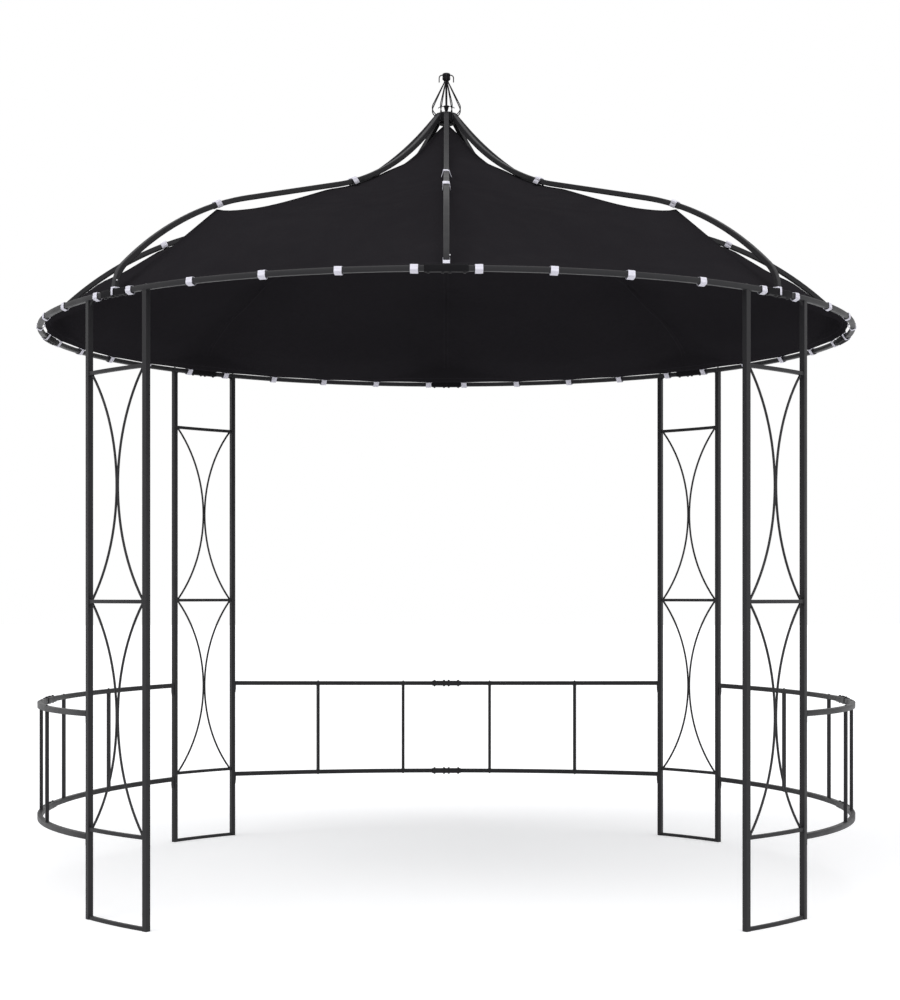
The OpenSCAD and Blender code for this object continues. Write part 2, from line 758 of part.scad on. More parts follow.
panel(-135);  // panel_front_left
panel(-45);  // panel_front_right
panel(135);  // panel_rear_left
panel(45);  // panel_rear_right
railing_half(LEFT, 1, side_rail_tilt);  // railing_left_front
railing_half(LEFT, -1, side_rail_tilt);  // railing_left_rear
railing_half(REAR, 1, rear_rail_tilt);  // railing_rear_left
railing_half(REAR, -1, rear_rail_tilt);  // railing_rear_right
railing_half(RIGHT, -1, side_rail_tilt);  // railing_right_front
railing_half(RIGHT, 1, side_rail_tilt);  // railing_right_rear
railing_sleeves(LEFT, side_rail_tilt);  // railing_sleeves_left
railing_sleeves(REAR, rear_rail_tilt);  // railing_sleeves_rear
railing_sleeves(RIGHT, side_rail_tilt);  // railing_sleeves_right
ring_segment(0);  // ring_segment_1
ring_segment(1);  // ring_segment_2
ring_segment(2);  // ring_segment_3
ring_segment(3);  // ring_segment_4
ring_segment(4);  // ring_segment_5
ring_segment(5);  // ring_segment_6
ring_segment(6);  // ring_segment_7
ring_segment(7);  // ring_segment_8
ring_sleeves();
rib(0);  // rib_front
rib(1);  // rib_front_right
rib(2);  // rib_right
rib(3);  // rib_rear_right
rib(4);  // rib_rear
rib(5);  // rib_rear_left
rib(6);  // rib_left
rib(7);  // rib_front_left
crown_hub();
finial_cage();
finial_stem();
finial_knob();
canopy();
ring_straps();
rib_straps();
foot_straps();
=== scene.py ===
import json
import math
import random

import bpy
import numpy as np
from mathutils import Matrix, Vector

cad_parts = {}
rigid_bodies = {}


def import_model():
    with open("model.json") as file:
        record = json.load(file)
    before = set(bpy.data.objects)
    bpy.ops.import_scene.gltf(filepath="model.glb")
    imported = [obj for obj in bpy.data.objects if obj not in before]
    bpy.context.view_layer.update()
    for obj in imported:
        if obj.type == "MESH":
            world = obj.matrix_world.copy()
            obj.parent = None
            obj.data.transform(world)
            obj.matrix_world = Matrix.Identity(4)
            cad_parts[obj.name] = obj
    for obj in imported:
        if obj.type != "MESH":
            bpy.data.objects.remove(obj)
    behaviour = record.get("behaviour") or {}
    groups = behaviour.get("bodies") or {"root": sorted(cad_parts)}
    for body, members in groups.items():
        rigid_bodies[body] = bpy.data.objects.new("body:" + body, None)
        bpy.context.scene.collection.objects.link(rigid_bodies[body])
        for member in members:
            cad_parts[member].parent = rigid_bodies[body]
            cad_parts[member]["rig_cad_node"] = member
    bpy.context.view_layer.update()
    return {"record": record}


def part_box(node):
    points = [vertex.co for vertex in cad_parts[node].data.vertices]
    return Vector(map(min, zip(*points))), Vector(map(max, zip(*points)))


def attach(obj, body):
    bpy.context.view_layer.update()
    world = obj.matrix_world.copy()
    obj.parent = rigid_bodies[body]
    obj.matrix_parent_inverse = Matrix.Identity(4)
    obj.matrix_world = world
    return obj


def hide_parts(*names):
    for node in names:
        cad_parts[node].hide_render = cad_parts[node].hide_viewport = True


bl_info = {
    "name": "Round garden gazebo",
    "version": (1, 0, 0),
    "blender": (4, 5, 0),
    "location": "View3D > Sidebar > Gazebo",
    "description": "Cloth roof, straps, fasteners, finishes and stage for a round steel gazebo",
    "category": "Object",
}

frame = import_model()

RIBS = 8
RIB_STEP = 360 / RIBS
FRONT = -90
REAR = 90
RIB_ANGLES = [FRONT + k * RIB_STEP for k in range(RIBS)]
RAILINGS = (0, REAR, 180)
PANELS = (-135, -45, 45, 135)
PANEL_HALF = 6.0  # angle from the middle of a leg panel to its posts
BAR = 0.012
PANEL_BARS = (0.292, 1.031, 1.77)  # heights of the cross bars' middles
RING_LOW, RING_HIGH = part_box("ring_segment_1")
OUTER_RADIUS = max(abs(value) for corner in map(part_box, ("ring_segment_2", "ring_segment_6"))
                   for point in corner for value in point[:2])
TUBE = RING_HIGH.z - RING_LOW.z
RING_RADIUS = OUTER_RADIUS - TUBE / 2


# ---------------- sizes and colours

def metres(name, description, default):
    return bpy.props.FloatProperty(name=name, description=description, default=default,
                                   unit="LENGTH")


def degrees(name, description, default):
    return bpy.props.FloatProperty(name=name, description=description,
                                   default=math.radians(default), subtype="ANGLE")


def paint(name, description, default):
    return bpy.props.FloatVectorProperty(name=name, description=description, default=default,
                                         subtype="COLOR", min=0, max=1)


class GazeboRoofSizes(bpy.types.PropertyGroup):
    """Sizes of the ribs' curve and of the cloth that hangs under them"""
    foot_bend: metres("Foot bend", "Radius of the bend from the upright rib foot", 0.122)
    shoulder_slope: degrees("Shoulder slope", "Slope of a rib where its foot bend ends", 44.4)
    shoulder_bend: metres("Shoulder bend", "Radius of the outward curve above the eave", 1.14)
    middle_slope: degrees("Middle slope", "Slope of the straight stretch of a rib", 15.1)
    neck_bend: metres("Neck bend", "Radius of the inward curve below the hub", 0.945)
    crown_slope: degrees("Crown slope", "Slope of a rib where it meets the hub", 49.3)
    crown_run: metres("Crown run", "Level length of a rib's straight end at the hub", 0.03)
    hub_radius: metres("Hub radius", "Half the hub's width across its flats", 0.041)
    outer_tie: metres("Outer tie", "Radius at which the outer straps hold the cloth", 1.08)
    inner_tie: metres("Inner tie", "Radius at which the inner straps hold the cloth", 0.489)
    field_sag: metres("Field sag", "Drop of the cloth below a rib inside the outer tie", 0.027)
    field_end: metres("Field end", "Radius at which the cloth is back against the ribs", 0.587)
    gore_sag: metres("Gore sag", "Drop of the cloth between two ribs at the inner ties", 0.028)
    crown_open: metres("Crown opening", "Radius at which the cloth leaves the ribs again", 0.33)
    crown_sag: metres("Crown sag", "Drop of the cloth below a rib where it meets the hub", 0.038)
    flatness: bpy.props.FloatProperty(
        name="Gore flatness", description="Share of a flat gore between two ribs",
        default=0.95, min=0, max=1, subtype="FACTOR")
    hem_rise: metres("Hem rise", "Height of the hem's outer face above the ring", 0.0005)
    hem_inset: metres("Hem inset", "Gap between the ring's inner face and the hem", 0.007)
    cloth: metres("Cloth", "Thickness of the cloth as drawn", 0.0012)


class GazeboStrapSizes(bpy.types.PropertyGroup):
    """Sizes of the webbing straps"""
    width: metres("Width", "Width of the straps", 0.024)
    thickness: metres("Thickness", "Thickness of the webbing", 0.0014)
    clearance: metres("Clearance", "Air between a strap and the tube in it", 0.0003)
    per_gore: bpy.props.IntProperty(
        name="Straps per gore", description="Ring straps between two ribs", default=5)
    first_angle: degrees("First strap", "Angle from the front rib to the nearest ring strap", 3.7)
    creep: degrees("Strap creep", "Growth of that angle from rib to rib", 0.25)
    last_angle: degrees("Last strap", "Angle from a rib to the strap on its front side", 3.1)
    slide: degrees("Strap slide", "Shift of the front gores' straps to the front rib", 1.1)
    slack: metres("Slack", "How far a ring strap hangs below the ring", 0.005)
    foot_width: metres("Foot strap width", "Width of the straps round the rib feet", 0.0095)
    foot_rise: metres("Foot strap rise", "Rise of a foot strap at the rib's sides", 0.012)


class GazeboRailSizes(bpy.types.PropertyGroup):
    """Where the rails and balusters are, for their bolts, screws and weld beads"""
    bottom: metres("Bottom rail", "Height of the bottom rail's middle at its ends", 0.268)
    top: metres("Top rail", "Height of the top rail's middle at its ends", 0.667)
    end_angle: degrees("Rail end", "Angle from the middle of a railing to a rail's end", 38.5)
    side_tilt: degrees("Side tilt", "Outward tilt of the side rails round their ends", 1.4)
    rear_tilt: degrees("Rear tilt", "Outward tilt of the rear rails round their ends", 2.8)
    baluster_step: degrees("Baluster step", "Angle from one baluster to the next", 15.2)


class GazeboFastenerSizes(bpy.types.PropertyGroup):
    """Sizes of bolts, screws and weld beads"""
    bolt: metres("Bolt head", "Diameter of the sleeves' bolt heads", 0.0095)
    bolt_height: metres("Bolt head height", "Height of the sleeves' bolt heads", 0.0042)
    bolt_near: metres("Inner bolts", "Distance of the inner bolts from a joint", 0.0108)
    bolt_far: metres("Outer bolts", "Distance of the outer bolts from a joint", 0.054)
    screw: metres("Screw head", "Diameter of the balusters' screw heads", 0.0075)
    screw_height: metres("Screw head height", "Height of the balusters' screw heads", 0.003)
    bead: metres("Weld bead", "Radius of the weld beads", 0.0016)
    corner: metres("Tube corner", "Radius of the corners of the square tubes", 0.0038)


class GazeboColours(bpy.types.PropertyGroup):
    """Colours of the finishes"""
    coat: paint("Powder coat", "Colour of the coated steel", (0.0105, 0.01, 0.0118))
    # darker colour in which the sleeves, hub and finial are drawn
    coat_dull: paint("Dull coat", "Colour of the sleeves' duller coat", (0.0062, 0.0058, 0.007))
    # paler edge colour: painted highlight along the tube edges, with some wear
    coat_highlight_and_wear: paint("Coat highlight and wear", "Paler coat painted on edges as highlight and wear", (0.055, 0.054, 0.058))
    cloth: paint("Cloth", "Colour of the roof cloth", (0.0172, 0.0158, 0.0182))
    cloth_faded: paint("Faded cloth", "Paler threads of the roof cloth",
                       (0.0245, 0.0228, 0.0258))
    webbing: paint("Webbing", "Colour of the straps", (0.9, 0.89, 0.96))
    webbing_shade: paint("Webbing shade", "Colour between the straps' ribs", (0.76, 0.74, 0.84))
    zinc: paint("Zinc", "Colour of the bare screws", (0.58, 0.58, 0.6))
    floor: paint("Floor", "Colour of the floor", (0.86, 0.86, 0.87))


def roof():
    return bpy.context.scene.gazebo_roof


def straps():
    return bpy.context.scene.gazebo_straps


def rails():
    return bpy.context.scene.gazebo_rails


def fasteners():
    return bpy.context.scene.gazebo_fasteners


def colours():
    return bpy.context.scene.gazebo_colours


# ---------------- shader groups

DUST = (0.2, 0.19, 0.18, 1)
SEWING_THREAD = (0.05, 0.048, 0.055, 1)
PALE_THREAD = (0.9, 0.89, 0.93, 1)
ZINC_SHADE = (0.4, 0.4, 0.41, 1)
EFFECTS = {}
FINISHES = {}


def colour(value):
    return (*value, 1.0)


class Graph:
    """Adds nodes to a shader tree in few words"""

    def __init__(self, tree):
        self.tree = tree
        self.count = 0

    def add(self, kind, inputs=(), **settings):
        item = self.tree.nodes.new(kind)
        item.location = (-1400 + 190 * (self.count % 8), 300 - 260 * (self.count // 8))
        self.count += 1
        for name, value in settings.items():
            setattr(item, name, value)
        for socket, value in dict(inputs).items():
            self.put(value, item.inputs[socket])
        return item

    def put(self, value, socket):
        if isinstance(value, bpy.types.NodeSocket):
            self.tree.links.new(value, socket)
        else:
            socket.default_value = value

    def math(self, operation, a, b=0.0):
        return self.add("ShaderNodeMath", {0: a, 1: b}, operation=operation).outputs[0]

    def times(self, a, b):
        return self.math("MULTIPLY", a, b)

    def mix(self, share, a, b):
        return self.add("ShaderNodeMix", {0: share, 6: a, 7: b}, data_type="RGBA").outputs[2]

    def noise(self, vector, scale, detail, roughness=0.5):
        return self.add("ShaderNodeTexNoise", {"Vector": vector, "Scale": scale, "Detail": detail,
                                               "Roughness": roughness}).outputs[0]

    def ramp(self, value, low, high, out_low=0.0, out_high=1.0):
        return self.add("ShaderNodeMapRange", {0: value, 1: low, 2: high, 3: out_low,
                                               4: out_high}).outputs[0]

    def split(self, vector):
        return self.add("ShaderNodeSeparateXYZ", {0: vector}).outputs

    def here(self):
        """Co-ordinates on the piece in metres"""
        return self.add("ShaderNodeTexCoord").outputs["Object"]

    def bump(self, strength, distance, height, **normal):
        return self.add("ShaderNodeBump", {"Strength": strength, "Distance": distance,
                                           "Height": height, **normal}).outputs[0]


def effect(name, draw, inputs):
    """A shader group with named sockets. Its inputs are given with their defaults, and one
    without a default is a vector. draw adds its nodes and returns its outputs by name."""
    group = bpy.data.node_groups.new(name, "ShaderNodeTree")
    for label, value in inputs.items():
        kind = "NodeSocketVector" if value is None else "NodeSocketFloat"
        socket = group.interface.new_socket(label, in_out="INPUT", socket_type=kind)
        if value is not None:
            socket.default_value = value
    graph = Graph(group)
    shown = draw(graph, graph.add("NodeGroupInput").outputs)
    for label, value in shown.items():
        kind = "NodeSocketVector" if value.type == "VECTOR" else "NodeSocketFloat"
        group.interface.new_socket(label, in_out="OUTPUT", socket_type=kind)
    graph.add("NodeGroupOutput", shown)
    return group


def pebbled_skin(g, take):
    """Fine pebbles with slow cloudy patches"""
    cloud = g.noise(take["Vector"], take["Cloud Scale"], 4.0, 0.6)
    return {"Height": g.noise(take["Vector"], take["Pebble Scale"], 2.0),
            "Cloud": g.ramp(cloud, 0.35, 0.7)}


def settled_dust(g, take):
    """Dust that has settled on faces that look up"""
    up = g.split(g.add("ShaderNodeNewGeometry").outputs["Normal"])[2]
    speck = g.noise(take["Vector"], take["Scale"], 6.0, 0.65)
    return {"Mask": g.times(g.ramp(up, 0.55, 1.0), g.ramp(speck, 0.4, 0.75))}


def edge_highlight_and_wear(g, take):
    """Softened edges, and a mask of the pale line painted along them as highlight and wear"""
    soft = g.add("ShaderNodeBevel", {"Radius": take["Radius"]}, samples=4).outputs[0]
    flat = g.add("ShaderNodeNewGeometry").outputs["Normal"]
    same = g.add("ShaderNodeVectorMath", {0: soft, 1: flat},
                 operation="DOT_PRODUCT").outputs["Value"]
    return {"Normal": soft, "Mask": g.ramp(same, 0.999, 0.96)}


def plain_weave(g, take):
    """Warp and weft on flat cloth co-ordinates in metres"""
    part = g.split(take["Vector"])
    turns = g.math("DIVIDE", math.pi, take["Thread"])
    over = g.times(*(g.math("SINE", g.times(part[axis], turns)) for axis in (0, 1)))
    slub = g.math("SUBTRACT", g.noise(take["Vector"], 260.0, 3.0), 0.5)
    height = g.math("ADD", g.math("ABSOLUTE", over), g.times(slub, take["Unevenness"]))
    return {"Height": height, "Thread Mask": g.ramp(over, -0.6, 0.8)}


def stitching(g, take):
    """Dashes of thread along a line at a distance from an edge"""
    near = g.math("ABSOLUTE", g.math("SUBTRACT", take["Across"], take["Offset"]))
    phase = g.math("FRACT", g.math("DIVIDE", take["Along"], take["Stitch"]))
    dash = g.math("ABSOLUTE", g.math("SUBTRACT", phase, 0.5))
    return {"Mask": g.times(g.ramp(near, 0.0009, 0.0004), g.ramp(dash, 0.38, 0.3))}


def make_effects():
    EFFECTS.update(
        grain=effect("Pebbled skin", pebbled_skin,
                     {"Vector": None, "Pebble Scale": 900.0, "Cloud Scale": 9.0}),
        dust=effect("Settled dust", settled_dust, {"Vector": None, "Scale": 22.0}),
        edge=effect("Edge highlight and wear", edge_highlight_and_wear, {"Radius": 0.0025}),
        weave=effect("Plain weave", plain_weave,
                     {"Vector": None, "Thread": 0.0009, "Unevenness": 0.35}),
        stitching=effect("Stitching", stitching,
                         {"Along": 0.0, "Across": 0.0, "Offset": 0.005, "Stitch": 0.004}))


def place(graph, name, **inputs):
    item = graph.add("ShaderNodeGroup", node_tree=EFFECTS[name])
    for socket, value in inputs.items():
        graph.put(value, item.inputs[socket.replace("_", " ")])
    return item.outputs


def new_material(name, preview, **sockets):
    material = bpy.data.materials.new(name)
    material.use_nodes = True
    material.diffuse_color = colour(preview)
    shader = material.node_tree.nodes["Principled BSDF"]
    for socket, value in sockets.items():
        shader.inputs[socket.replace("_", " ")].default_value = value
    return material, Graph(material.node_tree), shader


def surface(g, shader, base, cloud, roughness, normal):
    """Links a finish's colour, its cloudy roughness and its relief to its shader"""
    g.put(base, shader.inputs["Base Color"])
    g.put(g.ramp(cloud, 0.0, 1.0, *roughness), shader.inputs["Roughness"])
    g.put(normal, shader.inputs["Normal"])


def stitches(g, flat, offsets, stitch):
    """The thread of two seams at distances from an edge"""
    part = g.split(flat)
    return g.math("MAXIMUM", *(place(g, "stitching", Along=part[0], Across=part[1],
                                     Offset=offset, Stitch=stitch)["Mask"] for offset in offsets))


def powder_coat(name, tint, gloss, smooth, rough):
    """Black powder coat on steel"""
    material, g, shader = new_material(name, tint, Specular_IOR_Level=gloss)
    here = g.here()
    skin = place(g, "grain", Vector=here)
    dust = place(g, "dust", Vector=here)
    edge = place(g, "edge")
    # pale edges: painted highlight along the rounded edges, with some wear in cloudy patches
    highlight_and_wear = g.times(edge["Mask"], g.ramp(skin["Cloud"], 0.1, 0.9, 0.35, 1.0))
    base = g.mix(g.times(dust["Mask"], 0.06), colour(tint), DUST)
    base = g.mix(g.times(highlight_and_wear, 0.55), base, colour(colours().coat_highlight_and_wear))
    surface(g, shader, base, skin["Cloud"], (smooth, rough),
            g.bump(0.25, 0.0002, skin["Height"], Normal=edge["Normal"]))
    return material


def zinc_plate():
    """Zinc plated steel of the small screws"""
    zinc = colours().zinc
    material, g, shader = new_material("zinc plate", zinc, Metallic=1.0)
    skin = place(g, "grain", Vector=g.here(), Pebble_Scale=1400.0, Cloud_Scale=60.0)
    surface(g, shader, g.mix(skin["Cloud"], colour(zinc), ZINC_SHADE), skin["Cloud"],
            (0.22, 0.4), g.bump(0.2, 0.0001, skin["Height"]))
    return material


def roof_weave():
    """Black polyester cloth with a stitched hem"""
    c = colours()
    faded = colour(c.cloth_faded)
    material, g, shader = new_material("black roof cloth", c.cloth, Specular_IOR_Level=0.0)
    flat, here = g.add("ShaderNodeUVMap").outputs[0], g.here()
    weave = place(g, "weave", Vector=flat)
    skin = place(g, "grain", Vector=here, Pebble_Scale=55.0, Cloud_Scale=2.3)
    dust = place(g, "dust", Vector=here, Scale=9.0)
    thread = stitches(g, flat, (0.004, 0.021), 0.004)
    base = g.mix(g.times(weave["Thread Mask"], 0.5), colour(c.cloth), faded)
    base = g.mix(g.times(skin["Cloud"], 0.3), base, faded)
    base = g.mix(g.times(dust["Mask"], 0.02), base, DUST)
    base = g.mix(g.times(thread, 0.6), base, SEWING_THREAD)
    fine = g.bump(0.35, 0.0003, g.math("ADD", weave["Height"], thread))
    surface(g, shader, base, skin["Cloud"], (0.66, 0.78),
            g.bump(0.2, 0.004, skin["Height"], Normal=fine))
    return material


def strap_weave():
    """Pale ribbed webbing with stitched edges"""
    c = colours()
    shade = colour(c.webbing_shade)
    material, g, shader = new_material("pale webbing", c.webbing, Sheen_Weight=0.1,
                                       Sheen_Roughness=0.5, Specular_IOR_Level=0.3)
    flat = g.add("ShaderNodeUVMap").outputs[0]
    weave = place(g, "weave", Vector=flat, Thread=0.0021, Unevenness=0.5)
    skin = place(g, "grain", Vector=g.here(), Cloud_Scale=30.0)
    thread = stitches(g, flat, (0.0025, 0.0225), 0.003)
    base = g.mix(weave["Thread Mask"], shade, colour(c.webbing))
    base = g.mix(g.times(skin["Cloud"], 0.25), base, shade)
    base = g.mix(g.times(thread, 0.35), base, PALE_THREAD)
    surface(g, shader, base, skin["Cloud"], (0.72, 0.85),
            g.bump(0.5, 0.0004, g.math("ADD", weave["Height"], thread)))
    return material


def make_finishes():
    make_effects()
    c = colours()
    FINISHES.update(frame_steel=powder_coat("satin powder coat", c.coat, 0.3, 0.46, 0.56),
                    dull_steel=powder_coat("dull powder coat", c.coat_dull, 0.1, 0.62, 0.72),
                    screw_steel=zinc_plate(),
                    roof_fabric=roof_weave(), strap_webbing=strap_weave())


# ---------------- mesh tools

def in_scene(name, data):
    """A new object in the scene"""
    thing = bpy.data.objects.new(name, data)
    bpy.context.scene.collection.objects.link(thing)
    return thing


def piece(name, points, faces, slot, flat, smooth=True):
    """A mesh object in the row frame that rides on the frame, flat being its UVs by point"""
    mesh = bpy.data.meshes.new(name)
    mesh.from_pydata([tuple(p) for p in points], [], faces)
    layer = mesh.uv_layers.new(name="flat")
    corners = np.zeros(len(mesh.loops), np.int32)
    mesh.loops.foreach_get("vertex_index", corners)
    layer.data.foreach_set("uv", np.asarray(flat, np.float32)[corners].ravel())
    mesh.polygons.foreach_set("use_smooth", [smooth] * len(mesh.polygons))
    mesh.materials.append(FINISHES[slot])
    thing = in_scene(name, mesh)
    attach(thing, "root")
    return thing


class Heap:
    """Collects points, faces and flat co-ordinates of many like parts of one piece"""

    def __init__(self):
        self.points, self.faces, self.flat = [], [], []

    def take(self, points, faces, matrix, flat=None):
        start = len(self.points)
        self.points += [matrix @ Vector(p) for p in points]
        self.faces += [tuple(start + i for i in face) for face in faces]
        self.flat += flat or [(0.0, 0.0)] * len(points)

    def make(self, name, slot, smooth=True):
        return piece(name, self.points, self.faces, slot, self.flat, smooth)


def grid_faces(rows, columns, close_rows=False):
    """Quads between closed rows of points, which have the same number of columns"""
    return [(i * columns + j, i * columns + (j + 1) % columns,
             (i + 1) % rows * columns + (j + 1) % columns, (i + 1) % rows * columns + j)
            for i in range(rows if close_rows else rows - 1) for j in range(columns)]


def tube_faces(rows, columns):
    """Quads round a tube of rows of points, and a cap at each end"""
    return [*grid_faces(rows, columns), tuple(range(columns - 1, -1, -1)),
            tuple(range((rows - 1) * columns, rows * columns))]


def roll(angle, axis):
    return Matrix.Rotation(angle, 4, axis)


def turned(angle, x=0.0, z=0.0):
    """Places a drawing with x outwards and z up at an angle round the middle"""
    return roll(math.radians(angle), "Z") @ Matrix.Translation((x, 0, z))


def rounded(corners, radius, steps=4, closed=True):
    """A line in two dimensions with its corners rounded. The radius of an open line is how far
    its roundings reach from their corners."""
    corners = [Vector(corner) for corner in corners]
    out = []
    for i, here in enumerate(corners):
        if not closed and i in (0, len(corners) - 1):
            out.append(here)
            continue
        back, ahead = corners[i - 1] - here, corners[(i + 1) % len(corners)] - here
        reach = radius / math.tan(back.angle(ahead) / 2) if closed else radius
        cut = min(reach, 0.45 * back.length, 0.45 * ahead.length)
        a, b = here + back.normalized() * cut, here + ahead.normalized() * cut
        out += [(1 - t) ** 2 * a + 2 * t * (1 - t) * here + t ** 2 * b
                for t in (k / steps for k in range(steps + 1))]
    return out


# ---------------- the ribs' line and the cloth

class RibLine:
    """The ribs' centre line from the foot to the hub, and lines beside it"""

    def __init__(self):
        self.s = s = roof()
        self.foot_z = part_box("rib_front")[0].z
        self.foot_centre = (RING_RADIUS - s.foot_bend, self.foot_z)
        run, rise = self.arc(s.foot_bend, math.pi / 2, s.shoulder_slope)
        self.foot_end = (RING_RADIUS - run, self.foot_z + rise)
        run, rise = self.arc(s.shoulder_bend, s.shoulder_slope, s.middle_slope)
        self.shoulder_end = (self.foot_end[0] - run, self.foot_end[1] + rise)
        self.neck_end_r = s.hub_radius + s.crown_run
        run, rise = self.arc(s.neck_bend, s.crown_slope, s.middle_slope)
        self.neck_start_r = self.neck_end_r + run
        neck_end_z = self.shoulder_end[1] + (
            self.shoulder_end[0] - self.neck_start_r) * math.tan(s.middle_slope) + rise
        self.crown_z = neck_end_z + s.crown_run * math.tan(s.crown_slope)
        self.shoulder_centre = (
            self.foot_end[0] - s.shoulder_bend * math.sin(s.shoulder_slope),
            self.foot_end[1] - s.shoulder_bend * math.cos(s.shoulder_slope))
        self.neck_centre = (self.neck_end_r + s.neck_bend * math.sin(s.crown_slope),
                            neck_end_z + s.neck_bend * math.cos(s.crown_slope))

    @staticmethod
    def arc(radius, a, b):
        return (radius * abs(math.sin(a) - math.sin(b)),
                radius * abs(math.cos(b) - math.cos(a)))

    def height(self, r, out=0.0):
        """Height of the line at a distance outside the centre line"""
        s = self.s

        def rise(centre, radius):
            return math.sqrt(max(0.0, radius ** 2 - (r - centre[0]) ** 2))
        if r > self.foot_end[0] + out * math.sin(s.shoulder_slope):
            return self.foot_z + rise(self.foot_centre, s.foot_bend + out)
        if r > self.shoulder_end[0] + out * math.sin(s.middle_slope):
            return self.shoulder_centre[1] + rise(self.shoulder_centre, s.shoulder_bend + out)
        if r > self.neck_start_r + out * math.sin(s.middle_slope):
            return (self.shoulder_end[1] + (self.shoulder_end[0] - r) * math.tan(s.middle_slope)
                    + out / math.cos(s.middle_slope))
        if r > self.neck_end_r + out * math.sin(s.crown_slope):
            return self.neck_centre[1] - rise(self.neck_centre, s.neck_bend - out)
        return (self.crown_z - (r - s.hub_radius) * math.tan(s.crown_slope)
                + out / math.cos(s.crown_slope))

    def slope(self, r):
        return math.atan((self.height(r - 0.0005) - self.height(r + 0.0005)) / 0.001)


FIELD_SKEW = 0.62  # power that moves the deepest sag between two ties
CROWN_SKEW = 1.3  # power that shapes the sag near the hub
STRAP_SKEW = 0.85  # power that moves the longest slide of the front gores' straps
TIP_RADIUS = 0.006
TIE_GAP = 0.0023  # between a rib's underside and the cloth
GORE_START = 1.28  # radius where the cloth between two ribs leaves the eave's line
CALM_RADIUS = 0.15  # radius within which the ribs' sag holds all round
CALM_SPREAD = 0.7  # power that widens the part between two ribs that is free of it
HEM_STRIP = 0.17  # width of the strip in which flat gores pass into the round hem
SHOULDER_SLOPE = 0.6  # of the cloth from the outer tie to the shoulders of side and rear ribs
SHOULDER_TOUCH = (1.2, 1.32)  # radii between which it comes to touch the rib
SHOULDER_SPREAD = 7.0  # angle over which that fades to the sides
SHOULDER_HEM = 0.04  # distance over which it fades to the hem
TIE_HOLD = 0.16  # distance over which it fades inside the outer tie
BOW_ANGLE = 9.5  # usual angle between two straps, between which the hem bows
BOW_REACH = 0.04
BOW_RISE = 0.0015
BOW_INSET = 0.002
PLEAT_WIDTH = 0.009  # of the pleats that start at the straps
PLEAT_WIDENING = 0.22
PLEAT_REACH = 0.08
PLEAT_DEPTH = 0.0028
PLEAT_START = 0.012


def ease(x):
    t = min(1.0, max(0.0, x))
    return t * t * (3 - 2 * t)


def strap_turns(gore):
    """Angles of a gore's ring straps from the rib at its start, left and right alike"""
    s = straps()
    order = min(gore, RIBS - 1 - gore)
    first = math.degrees(s.first_angle + order * s.creep)
    room = RIB_STEP - first - math.degrees(s.last_angle)
    slide = math.degrees(s.slide) if order == 0 else 0.0
    shares = [n / (s.per_gore - 1) for n in range(s.per_gore)]
    turns = [first + room * t - slide * math.sin(math.pi * t ** STRAP_SKEW) for t in shares]
    return turns if gore == order else [RIB_STEP - turn for turn in reversed(turns)]


